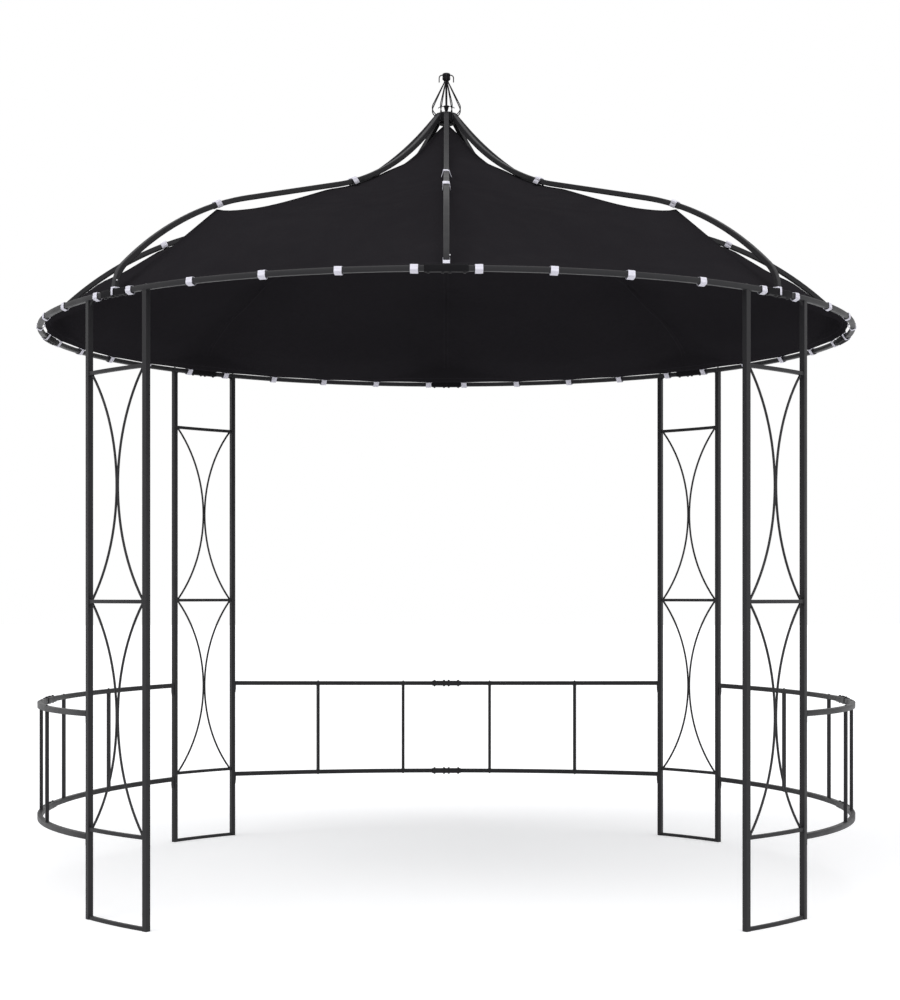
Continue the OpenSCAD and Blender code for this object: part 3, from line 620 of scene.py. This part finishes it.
class Cloth:
    """The heights of the roof cloth's outer face"""

    def __init__(self):
        self.line = RibLine()
        self.s = s = self.line.s
        self.hem_z = RING_HIGH.z + s.hem_rise
        self.hem_r = RING_RADIUS - TUBE / 2 - s.hem_inset
        self.tip_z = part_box("crown_hub")[0].z - 0.0002
        self.eave_rise = self.under_rib(s.outer_tie) - self.hem_z
        self.ties = [[0.0, *strap_turns(gore), RIB_STEP] for gore in range(RIBS)]

    def under_rib(self, r):
        return self.line.height(r, -TUBE / 2 - TIE_GAP)

    def eave_drop(self, r):
        share = (self.hem_r - r) / (self.hem_r - self.s.outer_tie)
        return self.under_rib(r) - self.hem_z - self.eave_rise * share

    def rib_sag(self, r):
        s = self.s
        if r > s.outer_tie:
            return self.eave_drop(r)
        if r > s.field_end:
            share = (s.outer_tie - r) / (s.outer_tie - s.field_end)
            return s.field_sag * math.sin(math.pi * share ** FIELD_SKEW)
        share = min(1.0, max(0.0, (r - s.hub_radius) / (s.crown_open - s.hub_radius)))
        return s.crown_sag * (1 + math.cos(math.pi * share ** CROWN_SKEW)) / 2

    def gore_drop(self, r):
        if r > GORE_START:
            return self.eave_drop(r)
        start = self.eave_drop(GORE_START)
        return start - (start - self.s.gore_sag) * ease(
            (GORE_START - r) / (GORE_START - self.s.inner_tie))

    def calm_share(self, r, turn):
        """How far the cloth between two ribs is free of the ribs' sag"""
        if not 0 < turn < RIB_STEP:
            return 0.0
        return math.sin(math.pi * turn / RIB_STEP) ** CALM_SPREAD * ease(
            (r - CALM_RADIUS) / (self.s.inner_tie - CALM_RADIUS))

    def height(self, r, turn):
        s = self.s
        if r <= s.hub_radius:
            low = self.under_rib(s.hub_radius) - s.crown_sag
            rise = (s.hub_radius - max(r, TIP_RADIUS)) / (s.hub_radius - TIP_RADIUS)
            return low + (self.tip_z - low) * rise
        stretch = (math.cos(math.radians(abs(turn) - RIB_STEP / 2))
                   / math.cos(math.radians(RIB_STEP / 2)))
        fade = min(1.0, max(0.0, (self.hem_r - r) / HEM_STRIP))
        x = min(self.hem_r, r * (1 + s.flatness * fade * (stretch - 1)))
        calm = self.calm_share(x, turn)
        return self.under_rib(x) - (1 - calm) * self.rib_sag(x) - calm * self.gore_drop(x)

    def shoulder_lift(self, r, gore, turn):
        """How much higher the cloth is where it lies against a side or rear rib's shoulder"""
        tie = self.s.outer_tie
        rib = gore if turn < RIB_STEP / 2 else gore + 1
        if min(rib, RIBS - rib) < 2:
            return 0.0
        if r <= tie:
            held, hold = self.under_rib(r), ease((r - tie + TIE_HOLD) / (TIE_HOLD * 0.6))
        else:
            start, end = SHOULDER_TOUCH
            touch = ease((r - start) / (end - start))
            free = self.under_rib(tie) - SHOULDER_SLOPE * (r - tie)
            held = (1 - touch) * free + touch * self.under_rib(r)
            hold = ease((self.hem_r - r) / SHOULDER_HEM)
        side = min(turn, RIB_STEP - turn) / SHOULDER_SPREAD
        return max(0.0, held - self.height(r, 0.0)) * math.exp(-side ** 2) * hold

    def point(self, r, angle):
        """A point of the cloth at an angle from the front rib, with the pulls of its straps"""
        gore, turn = divmod(angle % 360, RIB_STEP)
        ties = self.ties[int(gore)]
        k = max(i for i in range(len(ties) - 1) if ties[i] <= turn + 1e-9)
        share = (turn - ties[k]) / (ties[k + 1] - ties[k])
        away = self.hem_r - r
        bow = (math.sin(math.pi * share) * ((ties[k + 1] - ties[k]) / BOW_ANGLE)
               * math.exp(-away / BOW_REACH))
        pleat = 0.0
        for tie in ties[1:-1]:
            side = math.radians(turn - tie) * r
            spread = PLEAT_WIDTH + PLEAT_WIDENING * away
            pleat += math.exp(-(side / spread) ** 2) * math.exp(-away / PLEAT_REACH)
        z = (self.height(r, turn) + self.shoulder_lift(r, int(gore), turn)
             + BOW_RISE * bow - PLEAT_DEPTH * pleat * (1 - math.exp(-away / PLEAT_START)))
        radius = r - BOW_INSET * bow
        a = math.radians(FRONT + angle)
        return Vector((radius * math.cos(a), radius * math.sin(a), z))


# ---------------- the cloth roof

HEM_WIDTH = 0.025
HEM_FOLD = 0.0012
SEAM_HALF = 0.011
SEAM_TOP, SEAM_BOTTOM = 0.0001, 0.0009
SEAM_SIDES = (-1, -0.5, 0, 0.5, 1)


def roof_turns(ties):
    """Angles of the cloth's columns in a gore, closer together at straps and ribs"""
    out = []
    for a, b in zip(ties, ties[1:]):
        steps = 12 if b - a > 5 else 5
        for k in range(steps):
            t = k / steps
            out.append(a + (b - a) * (t - 0.11 * math.sin(2 * math.pi * t)))
    return out


def roof_radii(cloth):
    """Radii of the cloth's rows from the hem to the tip"""
    s = cloth.s
    hem = [cloth.hem_r - d for d in (0, 0.0008, 0.003, 0.008, 0.015, 0.023, HEM_WIDTH - 0.001,
                                     HEM_WIDTH + 0.001, 0.033, 0.045, 0.06, 0.08, 0.105, 0.135)]
    field = list(np.linspace(hem[-1], s.inner_tie, 31))[1:]
    crown = [s.inner_tie + (0.06 - s.inner_tie) * t ** 0.9 for t in np.linspace(0, 1, 19)][1:]
    tip = [0.05, s.hub_radius, 0.03, 0.02, 0.012, TIP_RADIUS]
    return hem + field + crown + tip


def make_roof():
    cloth = Cloth()
    angles = [gore * RIB_STEP + turn for gore in range(RIBS)
              for turn in roof_turns(cloth.ties[gore])]
    radii = roof_radii(cloth)
    top, bottom, flat = [], [], []
    along = np.zeros(len(angles))
    previous = None
    for r in radii:
        row = [cloth.point(r, angle) for angle in angles]
        away = cloth.hem_r - r
        thick = cloth.s.cloth + (HEM_FOLD if away < HEM_WIDTH else 0.0)
        edge = 0.35 if away < 0.0004 else 1.0
        if previous is not None:
            along = along + [(p - q).length for p, q in zip(row, previous)]
        previous = row
        top += [p - Vector((0, 0, thick * (1 - edge) / 2)) for p in row]
        bottom += [p - Vector((0, 0, thick * (1 + edge) / 2)) for p in row]
        flat += [(math.radians(angle) * r, float(d)) for angle, d in zip(angles, along)]
    rows, columns = len(radii), len(angles)
    count = rows * columns
    grid = grid_faces(rows, columns)
    faces = [f[::-1] for f in grid]
    faces += [tuple(count + i for i in f) for f in grid]
    faces += [(k, (k + 1) % columns, count + (k + 1) % columns, count + k)
              for k in range(columns)]
    last = count - columns
    faces.append(tuple(last + k for k in range(columns)))
    faces.append(tuple(count + last + k for k in reversed(range(columns))))
    thing = piece("roof_cloth", top + bottom, faces, "roof_fabric", flat + flat)
    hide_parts("canopy")
    area = sum(p.area for p in thing.data.polygons) / 2
    return thing, cloth, float(along[0]), area


def make_seams(cloth):
    """Tapes under the cloth along each rib, sewn where two gores meet"""
    heap = Heap()
    section = [(side, SEAM_TOP) for side in SEAM_SIDES]
    section += [(side, SEAM_BOTTOM) for side in reversed(SEAM_SIDES)]
    radii = [r for r in roof_radii(cloth) if 0.07 < r < cloth.hem_r - HEM_WIDTH]
    for rib in range(RIBS):
        middle = [cloth.point(r, rib * RIB_STEP) for r in radii]
        points, flat, along = [], [], 0.0
        for i, r in enumerate(radii):
            along += (middle[i] - middle[i - 1]).length if i else 0.0
            for side, drop in section:
                angle = rib * RIB_STEP + math.degrees(side * SEAM_HALF / r)
                points.append(cloth.point(r, angle) - Vector((0, 0, roof().cloth + drop)))
                flat.append((along, (side + 1) * SEAM_HALF))
        heap.take(points, tube_faces(len(radii), len(section)), Matrix(), flat)
    return heap.make("roof_seams", "roof_fabric", smooth=False)


# ---------------- straps

# a strap's outer face: shares of its width and of half its thickness
STRAP_FACE = ((-0.5, 0.35), (-0.46, 0.9), (-0.25, 1), (0, 1), (0.25, 1), (0.46, 0.9), (0.5, 0.35))
# a foot strap's section: shares of its thickness and of its height
FOOT_SECTION = ((-0.35, 0), (0.35, 0), (0.5, 0.1), (0.5, 0.9), (0.35, 1), (-0.35, 1), (-0.5, 0.9),
                (-0.5, 0.1))
FOOT_LOOP_ROUNDING = 0.003
STRAP_LIFT = 0.0012  # room over the ring for the straps' tilt
OVERLAP_WIDTH = 0.97  # share of a strap's width that its end has
# how far the outer and the inner tie have slid outwards, by ribs from the front one
TIE_SLIDES = ((0.042, 0.035), (0.0, -0.02), (-0.023, 0.0), (0.0, 0.01), (0.008, 0.0))
TIE_FLARES = (0.002, 0.007)  # how far their feet stand out
TIE_LEAN = 0.1
TIE_AIR = 0.0015  # over the rib
FOOT_GAP = 0.004  # between the ring and a foot strap
TAIL_DROP = 0.022


def strap(heap, corners, radius, width, matrix, closed=False):
    """Webbing along corners drawn with x outwards and z up. Its outer face is away from the
    middle of a closed loop, and on the left of an open line."""
    line = [Vector((x, 0, z)) for x, z in rounded(corners, radius, 4 if closed else 3, closed)]
    count = len(line)
    middle = sum(line, Vector()) / count
    section = [(s, d / 2) for s, d in STRAP_FACE] + [(s, -d / 2) for s, d in STRAP_FACE[::-1]]
    points, flat, along = [], [], 0.0
    for i, p in enumerate(line):
        if closed:
            run = line[(i + 1) % count] - line[i - 1]
        else:
            run = line[min(i + 1, count - 1)] - line[max(i - 1, 0)]
        outward = Vector((-run.z, 0, run.x)).normalized()
        if closed and outward.dot(p - middle) < 0:
            outward = -outward
        along += (p - line[i - 1]).length if i else 0.0
        for s, d in section:
            points.append(p + Vector((0, 1, 0)) * s * width + outward * d * straps().thickness)
            flat.append((along, (s + 0.5) * width))
    columns = len(section)
    faces = grid_faces(count, columns, True) if closed else tube_faces(count, columns)
    heap.take(points, faces, matrix, flat)


def strap_start():
    """The straps' sizes, their thickness, and their distance from the middle of their tube"""
    s = straps()
    return s, s.thickness, TUBE / 2 + s.clearance + s.thickness / 2


def hem_straps(cloth, chance):
    """Straps that hold the hem down to the ring, each a loop with an overlapped end"""
    s, t, c = strap_start()
    heap = Heap()
    low = -s.clearance - t / 2 - s.slack
    high = TUBE + s.clearance + t / 2 + STRAP_LIFT
    hem = cloth.hem_r - RING_RADIUS
    hem_z = cloth.hem_z - RING_LOW.z - roof().cloth - HEM_FOLD - t / 2
    for rib_angle, ties in zip(RIB_ANGLES, cloth.ties):
        for turn in ties[1:-1]:
            shift = chance.uniform(-0.0006, 0.0006)
            angle = rib_angle + turn + chance.uniform(-0.05, 0.05)
            place_at = (turned(angle, RING_RADIUS, RING_LOW.z)
                        @ roll(chance.uniform(-0.03, 0.03), "X"))
            hang = chance.uniform(-0.001, 0.001)
            strap(heap, [(c, low + 0.006), (c, high + shift), (-c, high), (hem + 0.001, hem_z),
                         (hem - 0.004, hem_z), (-c - 0.001, low + 0.008), (-0.004, low + hang)],
                  0.0045, s.width, place_at, closed=True)
            strap(heap, [(c + t, low + 0.007), (c + t, TUBE * 0.6 + shift)], 0.003,
                  s.width * OVERLAP_WIDTH, place_at)
    return heap.make("hem_straps", "strap_webbing")


def rib_ties(line, chance):
    """Straps over each rib at its two ties, their ends sewn to the cloth on both sides"""
    s, t, c = strap_start()
    heap = Heap()
    foot = -TUBE / 2 - TIE_GAP + t / 2
    top = c + TIE_AIR
    for k, angle in enumerate(RIB_ANGLES):
        for tie, slide, flare in zip((line.s.outer_tie, line.s.inner_tie),
                                     TIE_SLIDES[min(k, RIBS - k)], TIE_FLARES):
            r = tie + slide
            place_at = (turned(angle, r, line.height(r)) @ roll(line.slope(r), "Y")
                        @ roll(chance.uniform(-0.02, 0.02), "X") @ roll(math.pi / 2, "Z")
                        @ roll(TIE_LEAN, "X"))
            flare += chance.uniform(-0.0008, 0.0008)
            bulge = flare * 0.2
            strap(heap, [(-c - flare, foot), (-c - bulge, c * 0.5), (-c, top), (c, top),
                         (c + bulge, c * 0.5), (c + flare, foot)], 0.0028, s.width, place_at)
            strap(heap, [(-c - t - bulge, 0.001), (-c - t, top + t), (0.006, top + t)], 0.003,
                  s.width * OVERLAP_WIDTH, place_at)
    return heap.make("rib_ties", "strap_webbing")


def foot_loops():
    """Straps round the rib feet. The front one rises at its sides, the others hang a tail."""
    s, t, c = strap_start()
    heap = Heap()
    for angle in RIB_ANGLES:
        front = angle == FRONT
        back = -c - (0.004 if front else 0.001)
        wide = s.foot_width if front else s.foot_width / 2
        rise = s.foot_rise if front else 0.0
        outline = rounded([(c, -c), (c, c), (back, c), (back, -c)], FOOT_LOOP_ROUNDING)
        place_at = turned(angle, RING_RADIUS, RING_HIGH.z + FOOT_GAP)
        points, flat, along = [], [], 0.0
        for i, p in enumerate(outline):
            inward = min(1.0, max(0.0, (c - p.x) / (2 * c)))
            along += (p - outline[i - 1]).length if i else 0.0
            normal = p.normalized()
            high = wide + rise * inward
            for x, z in FOOT_SECTION:
                points.append((p.x + normal.x * x * t, p.y + normal.y * x * t,
                               z * high + rise * inward * 0.15 * (1 - z)))
                flat.append((along, z * high))
        heap.take(points, grid_faces(len(outline), len(FOOT_SECTION), True), place_at, flat)
        if not front:
            tail = c + 0.0035
            strap(heap, [(tail, -TAIL_DROP), (tail, -0.003), (c + t, 0.001), (c + t, wide)],
                  0.003, s.foot_width, place_at)
    return heap.make("foot_loops", "strap_webbing")


# ---------------- bolts, screws and welds

RIB_SCREW_RISE = 0.028  # over the foot of a rib
BEAD_SIDES = 7
BEAD_SPACING = 0.0014
BEAD_RIPPLE = 0.00045
THIN_BEAD = 0.8  # share of the full radius on all tubes but the ribs


def socket_head(diameter, height, socket, sides=24):
    """A domed head with a six-sided socket, its foot at z = 0"""
    r = diameter / 2
    dome = [(r * 0.96, -0.0002), (r, height * 0.12), (r * 0.97, height * 0.42),
            (r * 0.86, height * 0.74), (r * 0.68, height * 0.95), (r * 0.5, height)]
    turns = [2 * math.pi * k / sides for k in range(sides)]
    points = [(x * math.cos(a), x * math.sin(a), z) for x, z in dome for a in turns]
    for share, z in ((1.0, height * 0.98), (0.97, height * 0.45)):
        for a in turns:
            reach = socket / 2 / math.cos(a % (math.pi / 3) - math.pi / 6)
            points.append((reach * math.cos(a) * share, reach * math.sin(a) * share, z))
    return points, tube_faces(len(dome) + 2, sides)


def spun(chance):
    """A head's own turn, in radians"""
    return roll(chance.uniform(0, 6), "Z")


def on_ring(angle, z, down=False):
    """Stands a part on a face that looks up or down, at an angle on the ring's circle"""
    matrix = turned(angle, RING_RADIUS, z)
    return matrix @ roll(math.pi, "X") if down else matrix


def across(length):
    return math.degrees(math.asin(length / RING_RADIUS))


def on_rail(middle, height):
    """Where a rail's drawing, flat and with its middle at angle 0, stands in the railing"""
    s = rails()
    chord = RING_RADIUS * math.cos(s.end_angle)
    return (turned(middle) @ Matrix.Translation((chord, 0, height))
            @ roll(s.rear_tilt if middle == REAR else s.side_tilt, "Y")
            @ Matrix.Translation((-chord, 0, 0)))


def sleeve_bolts(chance):
    """Bolts under the ring's sleeves, and over and under the railings' sleeves"""
    f = fasteners()
    heap = Heap()
    bolt = socket_head(f.bolt, f.bolt_height, f.bolt * 0.46)
    turns = [across(side * d) for d in (f.bolt_near, f.bolt_far) for side in (-1, 1)]
    low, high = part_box("ring_sleeves")
    half = (high.z - low.z) / 2
    for angle in RIB_ANGLES:
        for turn in turns:
            heap.take(*bolt, on_ring(angle + turn, low.z, True) @ spun(chance))
    for middle in RAILINGS:
        for height in (rails().bottom, rails().top):
            for turn in turns:
                for face, down in ((half, False), (-half, True)):
                    place_at = on_ring(turn, face, down) @ spun(chance)
                    heap.take(*bolt, on_rail(middle, height) @ place_at)
    return heap.make("sleeve_bolts", "frame_steel")


def baluster_angles():
    step = math.degrees(rails().baluster_step)
    return [k * step for k in (-1.5, -0.5, 0.5, 1.5)]


def post_angles(inset=0.0):
    """Angles of the posts, or of places on their inner sides"""
    return [middle + side * (PANEL_HALF - inset) for middle in PANELS for side in (-1, 1)]


def small_screws(chance):
    """Screws of the balusters and the post tops"""
    f = fasteners()
    heap = Heap()
    screw = socket_head(f.screw, f.screw_height, f.screw * 0.42, 18)
    for middle in RAILINGS:
        for angle in baluster_angles():
            for height, face, down in ((rails().top, TUBE / 2, False),
                                       (rails().bottom, -TUBE / 2, True)):
                place_at = on_ring(angle, face, down) @ spun(chance)
                heap.take(*screw, on_rail(middle, height) @ place_at)
    for angle in post_angles():
        heap.take(*screw, on_ring(angle, RING_HIGH.z) @ spun(chance))
    return heap.make("rail_screws", "frame_steel")


def rib_screws(line, chance):
    """Bare zinc screws in a side of the rib feet"""
    f = fasteners()
    heap = Heap()
    screw = socket_head(f.screw * 0.8, f.screw_height * 1.2, f.screw * 0.3, 18)
    for angle in RIB_ANGLES:
        heap.take(*screw, turned(angle)
                  @ Matrix.Translation((RING_RADIUS, TUBE / 2, line.foot_z + RIB_SCREW_RISE))
                  @ roll(-math.pi / 2, "X") @ spun(chance))
    return heap.make("rib_screws", "screw_steel")


def square_path(half):
    """Points along a rounded square outline in the x-y plane"""
    corners = [(half, -half), (half, half), (-half, half), (-half, -half)]
    outline = [Vector((*p, 0)) for p in rounded(corners, 0.0015, 2)]
    line = []
    for a, b in zip(outline, outline[1:] + outline[:1]):
        steps = max(1, round((b - a).length / BEAD_SPACING))
        line += [a.lerp(b, k / steps) for k in range(steps)]
    return line


def bead(heap, half, radius, matrix, chance):
    """A rippled weld bead round the end of a square tube"""
    line = square_path(half)
    points = []
    phase = chance.uniform(0, 6)
    travelled = 0.0
    for i, p in enumerate(line):
        ahead, back = line[(i + 1) % len(line)], line[i - 1]
        along = (ahead - back).normalized()
        travelled += (ahead - p).length
        u = along.cross(Vector((0, 0, 1))).normalized()
        v = along.cross(u).normalized()
        size = radius * (1 + 0.16 * math.sin(travelled / BEAD_RIPPLE + phase)
                         + chance.uniform(-0.08, 0.08))
        for a in (2 * math.pi * k / BEAD_SIDES for k in range(BEAD_SIDES)):
            points.append(p + u * size * math.cos(a) + v * size * math.sin(a))
    heap.take(points, grid_faces(len(line), BEAD_SIDES, True), matrix)


def welds(line, chance):
    """Beads where cross bars, balusters, posts and ribs end on another tube"""
    radius = fasteners().bead
    thin = radius * THIN_BEAD
    heap = Heap()
    for angle in post_angles(across(TUBE / 2)):
        for z in PANEL_BARS:
            bead(heap, BAR / 2, thin, on_ring(angle, z) @ roll(math.pi / 2, "X"), chance)
    for middle in RAILINGS:
        for angle in baluster_angles():
            for height, face in ((rails().bottom, TUBE / 2), (rails().top, -TUBE / 2)):
                bead(heap, BAR / 2, thin, on_rail(middle, height) @ on_ring(angle, face), chance)
    for angle in post_angles():
        bead(heap, TUBE / 2, thin, on_ring(angle, RING_LOW.z), chance)
    for angle in RIB_ANGLES:
        bead(heap, TUBE / 2, radius, on_ring(angle, line.foot_z), chance)
        hub = (turned(angle, line.s.hub_radius, line.crown_z) @ roll(math.pi / 2, "Y")
               @ Matrix.Diagonal((1 / math.cos(line.s.crown_slope), 1, 1, 1)))
        bead(heap, TUBE / 2, radius, hub, chance)
    return heap.make("weld_beads", "frame_steel")


# ---------------- stage

WHITE = (1, 1, 1, 1)
FLOOR_HALF = 60.0
FLOOR_DROP = 0.0005  # below the feet
FLOOR_GLOW = 0.36  # light the floor adds where it is seen directly
LAMP_DISTANCE = 8
CAMERA_DISTANCE = 6.907
CAMERA_HEIGHT = 1.048
LENS = 66.197
SHIFT = (0.00365, 0.0962)


def seen_directly(graph):
    """1 where the camera, a reflection or a glass surface looks, else 0"""
    path = graph.add("ShaderNodeLightPath").outputs
    return graph.math("MINIMUM", 1.0, graph.math(
        "ADD", path["Is Camera Ray"], graph.math("ADD", path["Is Glossy Ray"],
                                                 path["Is Transmission Ray"])))


def make_world():
    world = bpy.data.worlds.new("pale studio")
    bpy.context.scene.world = world
    world.use_nodes = True
    world.node_tree.nodes.clear()
    g = Graph(world.node_tree)
    lit, shown = (g.add("ShaderNodeBackground", {"Color": tint, "Strength": strength}).outputs[0]
                  for tint, strength in (((0.97, 0.98, 1, 1), 0.5), (WHITE, 1.0)))
    mix = g.add("ShaderNodeMixShader", {0: seen_directly(g), 1: lit, 2: shown})
    g.add("ShaderNodeOutputWorld", {"Surface": mix.outputs[0]})


def make_floor():
    tint = colours().floor
    material, g, shader = new_material("pale floor", tint, Roughness=0.9, Specular_IOR_Level=0.1)
    g.put(g.mix(g.noise(g.here(), 3.0, 4.0), colour(tint), (0.9, 0.9, 0.905, 1)),
          shader.inputs["Base Color"])
    shown = g.add("ShaderNodeEmission", {"Color": WHITE,
                                         "Strength": g.times(seen_directly(g), FLOOR_GLOW)})
    both = g.add("ShaderNodeAddShader", {0: shader.outputs[0], 1: shown.outputs[0]})
    g.put(both.outputs[0], g.tree.nodes["Material Output"].inputs["Surface"])
    corners = [(x * FLOOR_HALF, y * FLOOR_HALF, 0) for x, y in ((-1, -1), (1, -1), (1, 1), (-1, 1))]
    mesh = bpy.data.meshes.new("floor")
    mesh.from_pydata(corners, [], [(0, 1, 2, 3)])
    mesh.materials.append(material)
    floor = in_scene("floor", mesh)
    floor.location.z = -FLOOR_DROP


def lamp(name, azimuth, height, strength, softness):
    """A wide soft lamp far away. azimuth is counted from the front, to the right."""
    light = bpy.data.lights.new(name, "SUN")
    light.energy = strength
    light.angle = math.radians(softness)
    thing = in_scene(name, light)
    a, h = math.radians(azimuth + FRONT), math.radians(height)
    source = Vector((math.cos(a) * math.cos(h), math.sin(a) * math.cos(h), math.sin(h)))
    thing.location = source * LAMP_DISTANCE
    thing.rotation_euler = source.to_track_quat("Z", "Y").to_euler()


def make_camera():
    data = bpy.data.cameras.new("camera")
    data.sensor_width = 36
    data.lens = LENS
    data.shift_x, data.shift_y = SHIFT
    data.clip_end = 200
    thing = in_scene("camera", data)
    thing.location = (0, -CAMERA_DISTANCE, CAMERA_HEIGHT)
    thing.rotation_euler = (math.pi / 2, 0, 0)
    bpy.context.scene.camera = thing


# ---------------- operators and panel

# nodes drawn with sharp corners that are rounded here, and nodes with the duller coat
ROUNDED = ("rib_", "ring_s", "railing_")
DULL = ("ring_sleeves", "crown_hub", "finial_cage", "finial_stem", "finial_knob")


def round_tube(node, radius):
    """Rounds the corners of a drawn tube"""
    join = node.modifiers.new("join", "WELD")
    join.merge_threshold = 0.00005
    soft = node.modifiers.new("rounded corners", "BEVEL")
    soft.limit_method = "ANGLE"
    soft.angle_limit = math.radians(50)
    soft.width = radius
    soft.segments = 3
    soft.harden_normals = True


class GAZEBO_OT_coat_frame(bpy.types.Operator):
    """Make the finishes and coat every steel part of the frame"""
    bl_idname = "gazebo.coat_frame"
    bl_label = "Coat the frame"

    def execute(self, context):
        make_finishes()
        for part in frame["record"]["subparts"]:
            name = part["node"]
            node = next(o for o in bpy.data.objects if o.get("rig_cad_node") == name)
            finish = FINISHES["dull_steel" if name in DULL else part["material_slot"]]
            node.data.materials.clear()
            node.data.materials.append(finish)
            if name.startswith(ROUNDED):
                round_tube(node, fasteners().corner)
        return {"FINISHED"}


class GAZEBO_OT_roof_cloth(bpy.types.Operator):
    """Build the cloth roof, its seams and the straps that hold it"""
    bl_idname = "gazebo.roof_cloth"
    bl_label = "Cloth roof and straps"

    def execute(self, context):
        chance = random.Random(11)
        thing, cloth, profile, area = make_roof()
        seams = make_seams(cloth)
        hem = hem_straps(cloth, chance)
        ties = rib_ties(cloth.line, chance)
        feet = foot_loops()
        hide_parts("ring_straps")
        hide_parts("rib_straps")
        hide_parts("foot_straps")
        return {"FINISHED"}


class GAZEBO_OT_fasteners(bpy.types.Operator):
    """Add the sleeves' bolts, the small screws and the weld beads"""
    bl_idname = "gazebo.fasteners"
    bl_label = "Bolts, screws and welds"

    def execute(self, context):
        chance = random.Random(5)
        line = RibLine()
        sleeve_bolts(chance)
        small_screws(chance)
        rib_screws(line, chance)
        welds(line, chance)
        return {"FINISHED"}


class GAZEBO_OT_stage(bpy.types.Operator):
    """Set up the floor, the pale surroundings, the lamps and the camera"""
    bl_idname = "gazebo.stage"
    bl_label = "Stage"

    def execute(self, context):
        context.scene.view_settings.view_transform = "Standard"
        make_world()
        make_floor()
        lamp("key_lamp", -50, 45, 0.8, 40)
        lamp("fill_lamp", 60, 30, 0.4, 60)
        lamp("top_lamp", 10, 58, 0.9, 50)
        make_camera()
        return {"FINISHED"}


OPERATORS = (GAZEBO_OT_coat_frame, GAZEBO_OT_roof_cloth, GAZEBO_OT_fasteners, GAZEBO_OT_stage)


class GAZEBO_PT_tools(bpy.types.Panel):
    """Lists the gazebo's sizes, colours and steps"""
    bl_idname = "GAZEBO_PT_tools"
    bl_label = "Round garden gazebo"
    bl_space_type = "VIEW_3D"
    bl_region_type = "UI"
    bl_category = "Gazebo"

    def draw(self, context):
        for owner in PROPERTY_OWNERS:
            box = self.layout.box()
            group = getattr(context.scene, owner)
            for name in group.bl_rna.properties.keys():
                if name not in ("rna_type", "name"):
                    box.prop(group, name)
        for operator in OPERATORS:
            self.layout.operator(operator.bl_idname)


PROPERTY_OWNERS = {
    "gazebo_roof": GazeboRoofSizes,
    "gazebo_straps": GazeboStrapSizes,
    "gazebo_rails": GazeboRailSizes,
    "gazebo_fasteners": GazeboFastenerSizes,
    "gazebo_colours": GazeboColours,
}


def register():
    for group in PROPERTY_OWNERS.values():
        bpy.utils.register_class(group)
    for name, group in PROPERTY_OWNERS.items():
        setattr(bpy.types.Scene, name, bpy.props.PointerProperty(type=group))
    for operator in OPERATORS:
        bpy.utils.register_class(operator)
    bpy.utils.register_class(GAZEBO_PT_tools)


def unregister():
    bpy.utils.unregister_class(GAZEBO_PT_tools)
    for operator in reversed(OPERATORS):
        bpy.utils.unregister_class(operator)
    for name, group in PROPERTY_OWNERS.items():
        delattr(bpy.types.Scene, name)
        bpy.utils.unregister_class(group)


def main():
    register()
    bpy.ops.gazebo.coat_frame()
    bpy.ops.gazebo.roof_cloth()
    bpy.ops.gazebo.fasteners()
    bpy.ops.gazebo.stage()


if __name__ == "__main__":
    main()
